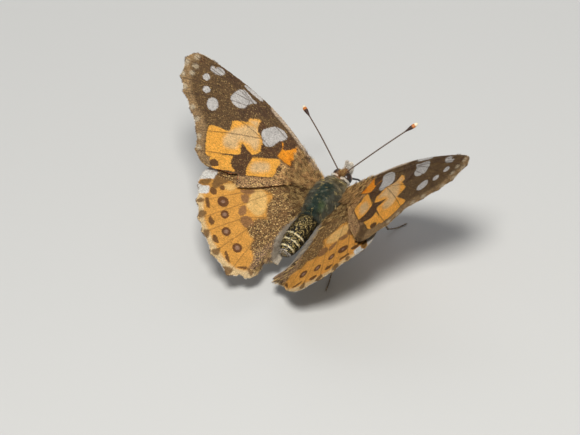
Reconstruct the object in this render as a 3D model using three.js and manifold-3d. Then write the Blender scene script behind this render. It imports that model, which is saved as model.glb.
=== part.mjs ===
// A painted lady butterfly, life size, standing on its four walking legs with its wings half raised.
// Millimetres, +Z up. The insect is modelled in its own frame: x to its left, y towards its tail,
// z up, with the origin midway between the forewing hinges. That frame is then pitched head up and
// lifted until the feet stand on z = 0.
import * as THREE from 'three';
import { mergeVertices } from 'three/addons/utils/BufferGeometryUtils.js';
import Module from 'manifold-3d';

const wasm = await Module();
wasm.setup();

// Driving sizes, mm and degrees.
const FOREWING_LENGTH = 31;
const WING_THICKNESS = 0.5;
const WING_RAISE = 32.1;
const HINGE_HALF_WIDTH = 2.87;
const HINGE_HEIGHT = 9.6;
const PITCH = 15;
const GAP = 0.3;
const HINDWING_DROP = 1.0;
const GRID_STEP = 3.1;
const SHEET_MARGIN = 0.5;
const CUT_DEPTH = 16;

const pitchAngle = THREE.MathUtils.degToRad(PITCH);
const raiseAngle = THREE.MathUtils.degToRad(WING_RAISE);
const halfSheet = WING_THICKNESS / 2;

// Colours of the sub-parts.
const finish = {
  orange: { color: 0xd98a3a, roughness: 0.8, metalness: 0 },
  brown: { color: 0x6b4a32, roughness: 0.85, metalness: 0 },
  dark: { color: 0x2b2420, roughness: 0.6, metalness: 0 },
  thorax: { color: 0x3a4a48, roughness: 0.7, metalness: 0 },
  eye: { color: 0x3a1f14, roughness: 0.25, metalness: 0 },
  pale: { color: 0xb9aa96, roughness: 0.85, metalness: 0 },
  leg: { color: 0x8a745c, roughness: 0.75, metalness: 0 },
};

// Small helpers for shapes.

function smoothStep(low, high, value) {
  return THREE.MathUtils.smoothstep(value, low, high);
}

// A value that runs smoothly through a list as t goes from 0 to 1.
function through(values) {
  const line = new THREE.SplineCurve(values.map((v, i) => new THREE.Vector2(i, v)));
  return (t) => line.getPoint(t).y;
}

// Points given as [left, fore, up] from the hinge line.
function bodyPoint([left, fore, up]) {
  return new THREE.Vector3(left, -fore, up);
}

// A cylinder bent along a curve. section(t) gives its half width to the side and its reach up and
// down from the curve, and round makes its stations close up towards both ends.
function bent(points, section, { sides = 12, steps = 12, round = true, grow = 0, top = [0, 0, 1] } = {}) {
  const curve = new THREE.CatmullRomCurve3(points);
  const base = new THREE.CylinderGeometry(1, 1, 1, sides, steps);
  const place = base.attributes.position;
  const upHint = new THREE.Vector3(...top);
  for (let i = 0; i < place.count; i += 1) {
    const step = place.getY(i) + 0.5;
    const t = round ? (1 - Math.cos(Math.PI * step)) / 2 : step;
    const along = curve.getTangentAt(t);
    const up = upHint.clone().addScaledVector(along, -upHint.dot(along)).normalize();
    const side = along.clone().cross(up);
    const size = section(t);
    const across = place.getX(i) * (size.side + grow);
    const height = place.getZ(i) * ((place.getZ(i) > 0 ? size.up : size.down) + grow);
    const spot = curve.getPointAt(t);
    spot.addScaledVector(along, grow * (2 * t - 1));
    spot.addScaledVector(side, across).addScaledVector(up, height);
    place.setXYZ(i, spot.x, spot.y, spot.z);
  }
  return base;
}

function even(radius) {
  return { side: radius, up: radius, down: radius };
}

// How full a rounded body is at t: 0 at its ends and 1 along its middle.
function fullness(t, power = 4) {
  return Math.sqrt(Math.max(0.004, 1 - Math.abs(2 * t - 1) ** power));
}

// Joining and cutting.

function solid(geometry) {
  const bare = geometry.clone();
  bare.deleteAttribute('normal');
  bare.deleteAttribute('uv');
  const merged = mergeVertices(bare, 1e-4);
  return new wasm.Manifold(new wasm.Mesh({
    numProp: 3,
    vertProperties: Float32Array.from(merged.attributes.position.array),
    triVerts: Uint32Array.from(merged.index.array),
  }));
}

// Joins the first list, cuts the second from it and keeps the largest closed body.
function fused(joined, cuts = []) {
  let whole = solid(joined[0]);
  for (const piece of joined.slice(1)) whole = whole.add(solid(piece));
  for (const cut of cuts) whole = whole.subtract(solid(cut));
  const kept = whole.decompose().reduce((a, b) => (a.volume() > b.volume() ? a : b));
  return fromSolid(kept);
}

function fromSolid(body) {
  const mesh = body.getMesh();
  const geometry = new THREE.BufferGeometry();
  geometry.setAttribute('position', new THREE.BufferAttribute(new Float32Array(mesh.vertProperties), 3));
  geometry.setIndex(Array.from(mesh.triVerts));
  geometry.computeVertexNormals();
  return geometry;
}

// The same shape on the insect's right.
function mirrored(geometry) {
  const copy = geometry.clone();
  copy.scale(-1, 1, 1);
  const corners = Array.from(copy.index.array);
  for (let i = 0; i < corners.length; i += 3) {
    [corners[i + 1], corners[i + 2]] = [corners[i + 2], corners[i + 1]];
  }
  copy.setIndex(corners);
  copy.computeVertexNormals();
  return copy;
}

function mesh(name, geometry, look) {
  const piece = new THREE.Mesh(geometry, new THREE.MeshStandardMaterial(finish[look]));
  piece.name = name;
  return piece;
}

// Body. Points are [left, fore, up]; grow swells a shape to cut its neighbour clear of it.

function thoraxShape(grow = 0) {
  const width = through([1.35, 2.2, 2.5, 2.55, 2.45, 2.1, 1.6]);
  const rise = through([1.0, 1.75, 2.15, 2.2, 2.0, 1.6, 1.1]);
  const depth = through([1.2, 2.2, 2.8, 2.9, 2.7, 2.2, 1.6]);
  const line = [[0, 1.9, -0.6], [0, -1.0, -0.35], [0, -4.0, -0.35], [0, -7.0, -0.45]];
  return bent(line.map(bodyPoint), (t) => {
    const full = fullness(t, 6);
    return { side: width(t) * full, up: rise(t) * full, down: depth(t) * full };
  }, { sides: 20, steps: 12, grow });
}

function abdomenShape(grow = 0) {
  const girth = through([1.45, 1.7, 1.88, 1.92, 1.82, 1.55, 1.1]);
  const rings = 8;
  const line = [[0, -6.3, -0.4], [0.1, -9.3, -0.2], [0.2, -12.5, -0.3], [0.35, -15.8, -0.65]];
  return bent(line.map(bodyPoint), (t) => {
    const fold = 1 - 0.05 * (1 - ((t * rings) % 1)) * (grow > 0 ? 0 : 1);
    const radius = girth(t) * fullness(t, 5) * fold;
    return { side: radius, up: radius * 0.95, down: radius * 1.05 };
  }, { sides: 16, steps: rings * 2, round: false, grow });
}

function headShape(grow = 0) {
  const line = [[0, 1.1, -0.6], [0, 2.5, -0.5], [0, 3.9, -0.7]];
  return bent(line.map(bodyPoint), (t) => {
    const full = fullness(t, 3);
    return { side: 0.98 * full, up: 0.95 * full, down: 1.1 * full };
  }, { sides: 16, steps: 8, grow });
}

function eyeShape(grow = 0) {
  const ball = new THREE.SphereGeometry(1, 16, 10);
  ball.scale(0.98 + grow, 1.02 + grow, 1.12 + grow);
  return ball.translate(0.82, -2.6, -0.5);
}

function palpShape(grow = 0) {
  const line = [[0.5, 3.2, -1.25], [0.52, 4.2, -1.15], [0.5, 4.85, -0.5], [0.42, 5.2, 0.35]];
  const girth = through([0.3, 0.38, 0.4, 0.3, 0.16]);
  return bent(line.map(bodyPoint), (t) => {
    const radius = girth(t) * fullness(t, 8);
    return { side: radius, up: radius * 0.75, down: radius * 0.75 };
  }, { sides: 8, steps: 8, grow, top: [1, 0, 0] });
}

function proboscisShape() {
  const radius = 0.27;
  const line = [
    [0, 3.2, -1.1], [0, 4.0, -2.8], [0, 5.0, -4.4], [0, 5.8, -5.7], [0, 6.1, -7.4], [0, 5.8, -10.7],
  ];
  return bent(line.map(bodyPoint), () => even(radius), {
    sides: 8, steps: 22, round: false, top: [1, 0, 0],
  });
}

// A thin shaft, bowed a little outward, with a club at its end. reach is how far its tip is from
// its foot: ahead, outward and up.
function antennaShape([ahead, out, up]) {
  const foot = [0.52, 2.75, 0.25];
  const reach = [out, ahead, up];
  const bow = 0.5;
  const middle = foot.map((v, i) => v + reach[i] / 2 + bow);
  const tip = foot.map((v, i) => v + reach[i]);
  const shaft = 0.25;
  const swelling = 0.2;
  const club = { start: 0.84, full: 0.91, blunt: 0.97 };
  return bent([foot, middle, tip].map(bodyPoint), (t) => {
    const radius = shaft + swelling * smoothStep(club.start, club.full, t);
    return even(t > club.blunt ? radius * 0.75 : radius);
  }, { sides: 8, steps: 26, round: false });
}

// Legs, in the floor's frame. Joints are [left, y, z] with the hip on the underside of the thorax.

const legs = {
  foreleg: {
    hip: [0.85, -0.55, 6.7], knee: [1.9, -2.7, 6.1], ankle: [1.35, -1.5, 4.3], toe: [1.2, -2.6, 3.6],
  },
  midleg: {
    hip: [1.2, 1.2, 6.6], knee: [5.3, -1.6, 7.3], ankle: [8.2, -3.4, 0.75], toe: [9.6, -6.6, 0.14],
  },
  hindleg: {
    hip: [1.2, 4.0, 6.0], knee: [4.4, 7.2, 6.3], ankle: [6.4, 11.0, 0.75], toe: [7.6, 14.4, 0.14],
  },
};
const legRadius = { hip: 0.5, femur: 0.48, knee: 0.33, tibia: 0.3, ankle: 0.27, toe: 0.25 };

function limb(from, to, startRadius, middleRadius, endRadius, steps = 3) {
  const girth = through([startRadius, middleRadius, endRadius]);
  const line = [new THREE.Vector3(...from), new THREE.Vector3(...to)];
  return bent(line, (t) => even(girth(t)), { sides: 7, steps, round: false, top: [0.15, 0.1, 1] });
}

function ball(spot, radius) {
  return new THREE.SphereGeometry(radius, 7, 4).translate(...spot);
}

// The foot comes down to the floor at its sole, part of the way from ankle to toe, and lies flat
// from there. A foreleg is small and held up under the head, so its foot is straight.
function legShape({ hip, knee, ankle, toe }, grounded) {
  const soleAt = grounded ? 0.68 : 0.5;
  const sole = toe.map((v, i) => ankle[i] + (v - ankle[i]) * soleAt);
  if (grounded) sole[2] = toe[2];
  const swell = 1.12;
  return [
    limb(hip, knee, legRadius.hip, legRadius.femur, legRadius.knee),
    ball(knee, legRadius.knee * swell),
    limb(knee, ankle, legRadius.knee, legRadius.tibia, legRadius.ankle),
    ball(ankle, legRadius.ankle * swell),
    limb(ankle, sole, legRadius.ankle, legRadius.toe, legRadius.toe, 2),
    ball(sole, legRadius.toe * swell),
    limb(sole, toe, legRadius.toe, legRadius.toe, legRadius.toe * 0.9, 2),
  ];
}

// Wings, each in its own frame: x outward from the hinge, y towards the tail, z up from the wing.
// Outlines and veins are [out, fore].

const forewing = {
  costa: [[-0.9, 0.5], [0.6, 1.1], [3.8, 2.5], [8.5, 4.3], [13.5, 5.6], [19.3, 6.3], [25.0, 6.5]],
  apex: [[25.0, 6.5], [28.2, 6.3], [29.9, 5.6], [30.8, 3.9]],
  margin: [[30.8, 3.9], [29.7, 0.6], [27.7, -1.5], [25.0, -3.4], [22.1, -5.9], [20.2, -9.0], [17.3, -11.6]],
  trailing: [
    [17.3, -11.6], [16.0, -12.5], [14.0, -12.1], [11.5, -10.6], [8.4, -8.4], [4.6, -4.7], [2.4, -3.0],
    [-0.9, -1.9],
  ],
  hollow: 0.3,
  veins: [
    [[-0.6, 0.0], [5.5, 2.4], [10.0, 3.9], [15.0, 5.3]],
    [[-0.6, -0.2], [5.5, 1.8], [12.9, 3.4], [20.0, 4.7], [25.0, 5.0], [29.4, 5.2]],
    [[13.2, 3.5], [17.0, 5.0], [19.8, 5.7]],
    [[16.6, 4.2], [20.5, 5.4], [23.0, 5.9]],
    [[20.0, 4.7], [23.5, 5.5], [26.3, 5.9]],
    [[22.5, 4.8], [27.0, 4.5], [30.1, 3.8]],
    [[17.5, 4.2], [22.5, 3.3], [29.0, 0.6]],
    [[17.3, 3.2], [21.5, 1.7], [27.1, -1.4]],
    [[-0.6, -0.5], [4.0, -1.3], [8.5, -1.1], [12.0, -0.2], [16.8, 0.1], [20.5, -0.9], [24.5, -3.1]],
    [[17.5, 4.2], [17.1, 2.2], [16.8, 0.1]],
    [[12.0, -0.2], [16.2, -2.4], [21.6, -5.7]],
    [[8.0, -1.1], [11.8, -4.3], [19.6, -8.8]],
    [[-0.6, -0.9], [3.9, -3.3], [9.9, -7.1], [16.2, -11.8]],
  ],
};

const hindwing = {
  costa: [[-1.6, -1.6], [1.5, -1.7], [5.5, -3.0], [10.0, -4.9], [13.8, -7.0], [16.1, -9.3]],
  apex: [[16.1, -9.3], [16.7, -11.3], [16.2, -13.7]],
  margin: [
    [16.2, -13.7], [15.0, -16.3], [13.0, -18.9], [11.1, -20.4], [7.6, -22.8], [3.4, -24.2], [-0.6, -22.6],
    [-2.4, -21.0],
  ],
  trailing: [[-2.4, -21.0], [-2.7, -19.0], [-2.5, -15.0], [-2.2, -11.0], [-1.9, -7.0], [-1.6, -4.0]],
  hollow: 0.4,
  veins: [
    [[-1.0, -2.6], [5.0, -4.0], [11.0, -6.4], [15.7, -10.2]],
    [[1.6, -3.9], [7.0, -6.6], [12.0, -9.8], [15.8, -13.4]],
    [[4.6, -5.8], [9.5, -10.2], [14.6, -16.4]],
    [[4.6, -5.8], [7.8, -11.2], [12.7, -18.8]],
    [[-1.0, -3.4], [1.6, -8.4], [3.6, -11.3], [6.8, -14.2], [10.7, -20.3]],
    [[3.6, -11.3], [5.2, -15.6], [7.4, -22.3]],
    [[1.7, -8.6], [2.9, -16.5], [3.3, -23.6]],
    [[-1.2, -4.0], [-0.5, -12.0], [-0.4, -22.0]],
  ],
};

// What wear has taken from each wing: closed outlines, [out, fore].
const wear = {
  forewing_left: [
    [
      [20.8, -9.7], [17.1, -10.3], [14.8, -9.4], [12.7, -8.6], [11.9, -8.0], [11.3, -8.9], [10.6, -10.4],
      [10.6, -14], [22, -14],
    ],
    [[31.6, 1.4], [30.2, 2.2], [31.6, 2.9]],
  ],
  forewing_right: [
    [[24.6, -6.0], [22.6, -4.7], [21.7, -6.2]],
  ],
  hindwing_left: [
    [[-0.9, -17.6], [-0.7, -20.6], [-0.3, -22.0], [0.4, -22.8], [0.4, -26], [-5, -26], [-5, -17.6]],
    [[17.2, -14.9], [15.9, -15.0], [15.4, -15.9], [16.6, -16.8], [17.6, -15.6]],
    [[2.7, -25.4], [1.9, -23.0], [1.1, -22.6], [0.2, -23.2], [0.2, -25.4]],
  ],
  hindwing_right: [
    [
      [10.4, -21.4], [8.6, -21.9], [6.6, -22.8], [4.9, -22.9], [2.4, -22.3], [1.6, -21.7], [-0.4, -21.2],
      [-3, -20.6], [-3, -26], [10.4, -26],
    ],
  ],
};

function flat(points) {
  return points.map(([out, fore]) => new THREE.Vector2(out, -fore));
}

// The outline: smooth edges, and an outer margin that is hollow between the vein ends.
function wingOutline({ costa, apex, margin, trailing, hollow }) {
  const shape = new THREE.Shape();
  const start = flat(costa)[0];
  shape.moveTo(start.x, start.y);
  shape.splineThru(flat(costa).slice(1));
  shape.splineThru(flat(apex).slice(1));
  const ends = flat(margin);
  for (let i = 1; i < ends.length; i += 1) {
    const chord = ends[i].clone().sub(ends[i - 1]);
    const inward = new THREE.Vector2(-chord.y, chord.x).normalize().multiplyScalar(hollow * 2);
    const middle = ends[i].clone().add(ends[i - 1]).multiplyScalar(0.5).add(inward);
    shape.quadraticCurveTo(middle.x, middle.y, ends[i].x, ends[i].y);
  }
  shape.splineThru(flat(trailing).slice(1));
  shape.closePath();
  return shape;
}

function prism(shape, curveSegments) {
  const block = new THREE.ExtrudeGeometry(shape, { depth: CUT_DEPTH, bevelEnabled: false, curveSegments });
  return block.translate(0, 0, -CUT_DEPTH / 2);
}

// How high the middle of each wing's sheet lies over the wing's own plane.
const middleHeight = {
  forewing: (x) => 0.35 * Math.sin(Math.PI * THREE.MathUtils.clamp(x / FOREWING_LENGTH, 0, 1)),
  hindwing: (x, y) => {
    const behind = y - (0.9 + 0.72 * x);
    const rise = (HINDWING_DROP - 0.35) * smoothStep(0.5, 6.5, behind);
    const fold = 0.5 * smoothStep(0.4, -2.4, x) * smoothStep(5, 8, y) * smoothStep(18.5, 15.5, y);
    const curl = 0.7 * smoothStep(0.5, -2.4, x) * smoothStep(17.5, 20.5, y);
    return -HINDWING_DROP + rise - fold + curl;
  },
};

// A closed curved sheet over a rectangle, cut into the same triangles above and below.
function curvedSheet(low, high, height) {
  const width = high.x - low.x;
  const length = high.y - low.y;
  const columns = Math.ceil(width / GRID_STEP);
  const rows = Math.ceil(length / GRID_STEP);
  const plane = new THREE.PlaneGeometry(width, length, columns, rows);
  plane.translate((low.x + high.x) / 2, (low.y + high.y) / 2, 0);
  const grid = plane.attributes.position;
  const corners = [];
  for (const offset of [halfSheet, -halfSheet]) {
    for (let i = 0; i < grid.count; i += 1) {
      corners.push(grid.getX(i), grid.getY(i), height(grid.getX(i), grid.getY(i)) + offset);
    }
  }
  const upper = Array.from(plane.index.array);
  const faces = [...upper];
  for (let i = 0; i < upper.length; i += 3) {
    faces.push(upper[i] + grid.count, upper[i + 2] + grid.count, upper[i + 1] + grid.count);
  }
  const rim = [];
  for (let i = 0; i < columns; i += 1) rim.push(i);
  for (let i = 0; i < rows; i += 1) rim.push(columns + i * (columns + 1));
  for (let i = columns; i > 0; i -= 1) rim.push(rows * (columns + 1) + i);
  for (let i = rows; i > 0; i -= 1) rim.push(i * (columns + 1));
  rim.forEach((here, i) => {
    const next = rim[(i + 1) % rim.length];
    faces.push(here, next, here + grid.count, next, next + grid.count, here + grid.count);
  });
  const sheet = new THREE.BufferGeometry();
  sheet.setAttribute('position', new THREE.BufferAttribute(new Float32Array(corners), 3));
  sheet.setIndex(faces);
  return sheet;
}

// A vein: a tapered four-sided rib in the sheet, standing a little out of both its faces.
function veinRib(points, height) {
  const line = flat(points).map((p) => new THREE.Vector3(p.x, p.y, height(p.x, p.y)));
  const width = through([0.42, 0.36, 0.3, 0.24]);
  const rise = through([0.42, 0.39, 0.36, 0.3]);
  return bent(line, (t) => ({ side: width(t), up: rise(t), down: rise(t) }), {
    sides: 4, steps: points.length, round: false,
  });
}

function wingMatrix() {
  const placed = new THREE.Object3D();
  placed.position.set(HINGE_HALF_WIDTH, 0, 0);
  placed.rotation.y = -raiseAngle;
  placed.updateMatrix();
  return placed.matrix;
}

// One wing: the curved sheet inside the outline, with its veins, clear of the body and worn.
function wingShape(name, design, height, body) {
  const outline = prism(wingOutline(design), 3);
  outline.computeBoundingBox();
  const { min, max } = outline.boundingBox.expandByScalar(SHEET_MARGIN);
  const sheet = curvedSheet(min, max, height);
  let wing = solid(sheet).intersect(solid(outline));
  for (const vein of design.veins) wing = wing.add(solid(veinRib(vein, height)));
  const toWing = wingMatrix().invert();
  for (const neighbour of body) wing = wing.subtract(solid(neighbour.clone().applyMatrix4(toWing)));
  for (const bite of wear[name]) wing = wing.subtract(solid(prism(new THREE.Shape(flat(bite)), 1)));
  const kept = wing.decompose().reduce((a, b) => (a.volume() > b.volume() ? a : b));
  return fromSolid(kept);
}

// The whole insect.

const insect = new THREE.Group();
insect.rotation.x = -pitchAngle;
insect.position.z = HINGE_HEIGHT;

insect.add(mesh('thorax', fused([thoraxShape()]), 'thorax'));
insect.add(mesh('abdomen', fused([abdomenShape()], [thoraxShape(GAP)]), 'dark'));
insect.add(mesh('head', fused([headShape()], [thoraxShape(GAP)]), 'brown'));
insect.add(mesh('proboscis', fused([proboscisShape()], [headShape(GAP)]), 'dark'));

const eye = fused([eyeShape()], [headShape(GAP), thoraxShape(GAP)]);
const palp = fused([palpShape()], [headShape(GAP)]);
insect.add(mesh('eye_left', eye, 'eye'));
insect.add(mesh('eye_right', mirrored(eye), 'eye'));
insect.add(mesh('palp_left', palp, 'pale'));
insect.add(mesh('palp_right', mirrored(palp), 'pale'));

// Each antenna ends this far ahead, outward and up from its base.
const antennaReach = { left: [8.4, 12.5, 2.0], right: [12.4, 8.2, 3.4] };
const bodyClearance = [thoraxShape(GAP), abdomenShape(GAP)];
for (const side of ['left', 'right']) {
  const sign = side === 'left' ? 1 : -1;
  const turn = (geometry) => (side === 'left' ? geometry : mirrored(geometry));
  const reach = antennaReach[side];
  const antenna = fused([antennaShape(reach)], [headShape(GAP), eyeShape(GAP)]);
  insect.add(mesh(`antenna_${side}`, turn(antenna), 'dark'));

  for (const [kind, design] of Object.entries({ forewing, hindwing })) {
    const name = `${kind}_${side}`;
    const shape = wingShape(name, design, middleHeight[kind], bodyClearance);
    const wing = mesh(name, turn(shape), 'orange');
    wing.position.x = sign * HINGE_HALF_WIDTH;
    wing.rotation.y = -sign * raiseAngle;
    insect.add(wing);
  }
}

// The legs stand in the floor's frame, and are cut clear of the thorax and flat at the floor.
const stance = new THREE.Group();
insect.updateMatrix();
const thoraxOnFloor = thoraxShape(GAP).applyMatrix4(insect.matrix);
const floorBlock = new THREE.BoxGeometry(80, 80, 4).translate(0, 0, -2);
for (const [kind, joints] of Object.entries(legs)) {
  const grounded = kind !== 'foreleg';
  const leg = fused(legShape(joints, grounded), [thoraxOnFloor, floorBlock]);
  stance.add(mesh(`${kind}_left`, leg, 'leg'));
  stance.add(mesh(`${kind}_right`, mirrored(leg), 'leg'));
}

// The origin is on the floor under the middle of the whole insect's box.
const part = new THREE.Group();
part.add(insect, stance);
part.updateMatrixWorld(true);
const middle = new THREE.Box3().setFromObject(part, true).getCenter(new THREE.Vector3());
part.position.set(-middle.x, -middle.y, 0);
part.updateMatrixWorld(true);

export default part;
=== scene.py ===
# A painted lady butterfly, life size: wings with their scales, one skin with its coat, and horn parts.
import math

import bmesh
import bpy
import numpy as np
from mathutils import Matrix, Vector, geometry


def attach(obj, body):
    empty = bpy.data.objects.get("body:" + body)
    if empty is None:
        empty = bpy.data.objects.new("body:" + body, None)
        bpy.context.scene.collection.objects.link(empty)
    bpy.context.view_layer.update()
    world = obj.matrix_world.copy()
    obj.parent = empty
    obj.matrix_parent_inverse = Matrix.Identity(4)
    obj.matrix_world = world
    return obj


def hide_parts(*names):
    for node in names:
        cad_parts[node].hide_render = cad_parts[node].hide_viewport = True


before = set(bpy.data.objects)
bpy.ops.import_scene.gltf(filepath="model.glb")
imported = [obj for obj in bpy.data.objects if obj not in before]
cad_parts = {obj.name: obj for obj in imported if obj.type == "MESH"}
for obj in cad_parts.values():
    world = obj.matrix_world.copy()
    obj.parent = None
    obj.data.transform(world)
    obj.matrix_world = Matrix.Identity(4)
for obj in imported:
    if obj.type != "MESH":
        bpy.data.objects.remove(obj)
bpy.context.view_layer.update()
print("frame loaded:", len(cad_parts), "nodes")

# How the insect stands: degrees and millimetres.
stance = {
    "pitch": 15.0, "hingeHeight": 9.6, "hingeBack": -4.979,
    "wingRaise": 32.1, "hingeHalfWidth": 2.87,
}
millimetre = 0.001
pitchAngle = math.radians(stance["pitch"])
raiseAngle = math.radians(stance["wingRaise"])
foreAxis = Vector((0, -math.cos(pitchAngle), math.sin(pitchAngle)))
leftAxis = Vector((1, 0, 0))
upAxis = Vector((0, math.sin(pitchAngle), math.cos(pitchAngle)))
hingeSpot = Vector((0, stance["hingeBack"], stance["hingeHeight"])) * millimetre
rowAxes = np.array([leftAxis, foreAxis, upAxis])
bothSides = (("left", 1), ("right", -1))


# Places given as [left, fore, up] mm from the hinge line, in metres of the row frame.
def bodyToRow(points):
    return np.array(hingeSpot) + np.asarray(points, float) @ rowAxes * millimetre


# Places on a wing given as [out, fore, height over the wing's plane] mm.
def wingToRow(points, side):
    out, fore, height = np.asarray(points, float).T
    left = stance["hingeHalfWidth"] + out * math.cos(raiseAngle) - height * math.sin(raiseAngle)
    up = out * math.sin(raiseAngle) + height * math.cos(raiseAngle)
    return bodyToRow(np.stack([side * left, fore, up], -1))


def smoothStep(low, high, value):
    t = np.clip((np.asarray(value, float) - low) / (high - low), 0, 1)
    return t * t * (3 - 2 * t)


def unit(vectors):
    return vectors / np.maximum(np.linalg.norm(vectors, axis=-1, keepdims=True), 1e-9)


# A smooth line through points: Catmull-Rom, with the ends held.
def smoothLine(points, perSpan=8, closed=False):
    knots = np.asarray(points, float)
    count = len(knots)
    spans = count if closed else count - 1
    line = []
    for i in range(spans):
        picks = [i - 1, i, i + 1, i + 2]
        picks = [p % count for p in picks] if closed else np.clip(picks, 0, count - 1)
        a, b, c, d = knots[picks]
        for t in np.arange(perSpan) / perSpan:
            line.append(b + 0.5 * t * (c - a + t * (2 * a - 5 * b + 4 * c - d + t * (3 * (b - c) + d - a))))
    if not closed:
        line.append(knots[-1])
    return np.array(line)


# How far each point of a line lies from its start, measured along the line.
def travelAlong(line):
    return np.concatenate([[0], np.cumsum(np.linalg.norm(np.diff(line, axis=0), axis=1))])


def sampleLine(line, travel, stations):
    return np.stack([np.interp(stations, travel, column) for column in line.T], -1)


# Quads between the rings of a tube, and a flat cap on each end.
def tubeFaces(count, around, offset=0):
    faces = []
    last = offset + (count - 1) * around
    for here in range(offset, last, around):
        for j in range(around):
            k = (j + 1) % around
            faces.append((here + j, here + k, here + around + k, here + around + j))
    faces.append(tuple(offset + j for j in range(around))[::-1])
    faces.append(tuple(last + j for j in range(around)))
    return faces


def meshObject(name, vertices, faces, material=None):
    mesh = bpy.data.meshes.new(name)
    mesh.from_pydata([tuple(v) for v in vertices], [], [tuple(int(i) for i in f) for f in faces])
    mesh.update()
    piece = bpy.data.objects.new(name, mesh)
    bpy.context.scene.collection.objects.link(piece)
    if material:
        mesh.materials.append(material)
    return piece


def smoothShade(piece):
    piece.data.polygons.foreach_set("use_smooth", np.ones(len(piece.data.polygons), bool))


def storeFloats(mesh, name, values):
    layer = mesh.attributes.new(name, "FLOAT", "POINT")
    layer.data.foreach_set("value", np.asarray(values, np.float32))


def storeVectors(mesh, name, values):
    layer = mesh.attributes.new(name, "FLOAT_VECTOR", "POINT")
    layer.data.foreach_set("vector", np.asarray(values, np.float32).ravel())


# Camera: the photo's view from above, behind and to the right, with a long lens.
view = {
    "back": (-0.405, -0.486, 0.775), "up": (0.7415, 0.3209, 0.5892),
    "shift": (-7.41, -5.45), "distance": 1.0, "imageWidth": 0.0988, "sensor": 36.0,
}


def bodyDirection(parts):
    return foreAxis * parts[0] + leftAxis * parts[1] + upAxis * parts[2]


def addCamera():
    back = bodyDirection(view["back"]).normalized()
    up = bodyDirection(view["up"])
    up = (up - back * up.dot(back)).normalized()
    right = up.cross(back)
    target = hingeSpot + (right * view["shift"][0] + up * view["shift"][1]) * millimetre
    camera = bpy.data.objects.new("camera", bpy.data.cameras.new("camera"))
    camera.data.sensor_width = view["sensor"]
    camera.data.lens = view["sensor"] * view["distance"] / view["imageWidth"]
    camera.data.clip_end = 10
    turned = Matrix((right, up, back)).transposed().to_4x4()
    camera.matrix_world = Matrix.Translation(target + back * view["distance"]) @ turned
    bpy.context.scene.collection.objects.link(camera)
    bpy.context.scene.camera = camera


addCamera()
print("camera placed")


# A colour given as sRGB, 0 to 255.
def srgb(red, green, blue):
    def linear(c):
        c /= 255
        return c / 12.92 if c <= 0.04045 else ((c + 0.055) / 1.055) ** 2.4
    return (linear(red), linear(green), linear(blue), 1.0)


# A small wrapper that adds nodes to a tree and wires them. Stride is the room between two of them.
class Nodes:
    stride = 180

    def __init__(self, tree):
        self.tree = tree
        self.across = 0

    def add(self, kind, settings=None, **inputs):
        node = self.tree.nodes.new(kind)
        self.across += self.stride
        node.location = (self.across, 0)
        for key, value in (settings or {}).items():
            setattr(node, key, value)
        for key, value in inputs.items():
            self.put(node, key, value)
        return node

    def put(self, node, key, value):
        socket = node.inputs[key]
        if isinstance(value, bpy.types.NodeSocket):
            self.tree.links.new(value, socket)
        else:
            socket.default_value = value

    def math(self, operation, first, second=0.0, third=0.0):
        node = self.add("ShaderNodeMath", {"operation": operation})
        for place, value in enumerate((first, second, third)):
            self.put(node, place, value)
        return node.outputs[0]

    def mix(self, factor, first, second):
        node = self.add("ShaderNodeMix", {"data_type": "RGBA"})
        for place, value in ((0, factor), (6, first), (7, second)):
            self.put(node, place, value)
        return node.outputs[2]

    def ramp(self, value, low, high, toLow=0.0, toHigh=1.0):
        node = self.add("ShaderNodeMapRange", {"interpolation_type": "SMOOTHSTEP"})
        for place, number in enumerate((value, low, high, toLow, toHigh)):
            self.put(node, place, number)
        return node.outputs[0]

    def scaled(self, vector, factor):
        node = self.add("ShaderNodeVectorMath", {"operation": "SCALE"})
        self.put(node, 0, vector)
        self.put(node, 3, factor)
        return node.outputs[0]

    def attribute(self, name, output="Fac"):
        return self.add("ShaderNodeAttribute", {"attribute_name": name}).outputs[output]

    def objectSpot(self):
        return self.add("ShaderNodeTexCoord").outputs["Object"]

    def noise(self, vector, scale, detail=2.0):
        return self.add("ShaderNodeTexNoise", Vector=vector, Scale=scale, Detail=detail).outputs[0]

    def group(self, tree, **inputs):
        return self.add("ShaderNodeGroup", {"node_tree": tree}, **inputs)


def shaderGroup(name, inputs, outputs):
    tree = bpy.data.node_groups.new(name, "ShaderNodeTree")
    for title, kind, value in inputs:
        socket = tree.interface.new_socket(title, in_out="INPUT", socket_type="NodeSocket" + kind)
        if value is not None:
            socket.default_value = value
    for title, kind in outputs:
        tree.interface.new_socket(title, in_out="OUTPUT", socket_type="NodeSocket" + kind)
    nodes = Nodes(tree)
    return tree, nodes, nodes.add("NodeGroupInput"), nodes.add("NodeGroupOutput")


# How scales show in a colour: sizes of noise per mm, and how far they sway edges and brightness.
scaleLook = {
    "edgeNoise": 7.0, "edgeSway": 4.0, "edgeLeast": 0.01, "fineNoise": 6.5, "broadNoise": 1.1, "sway": 3.0,
    "darkest": 0.1, "grainSize": 0.6, "specular": 0.3, "bump": 0.35, "bumpDepth": 0.00003,
}


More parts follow.
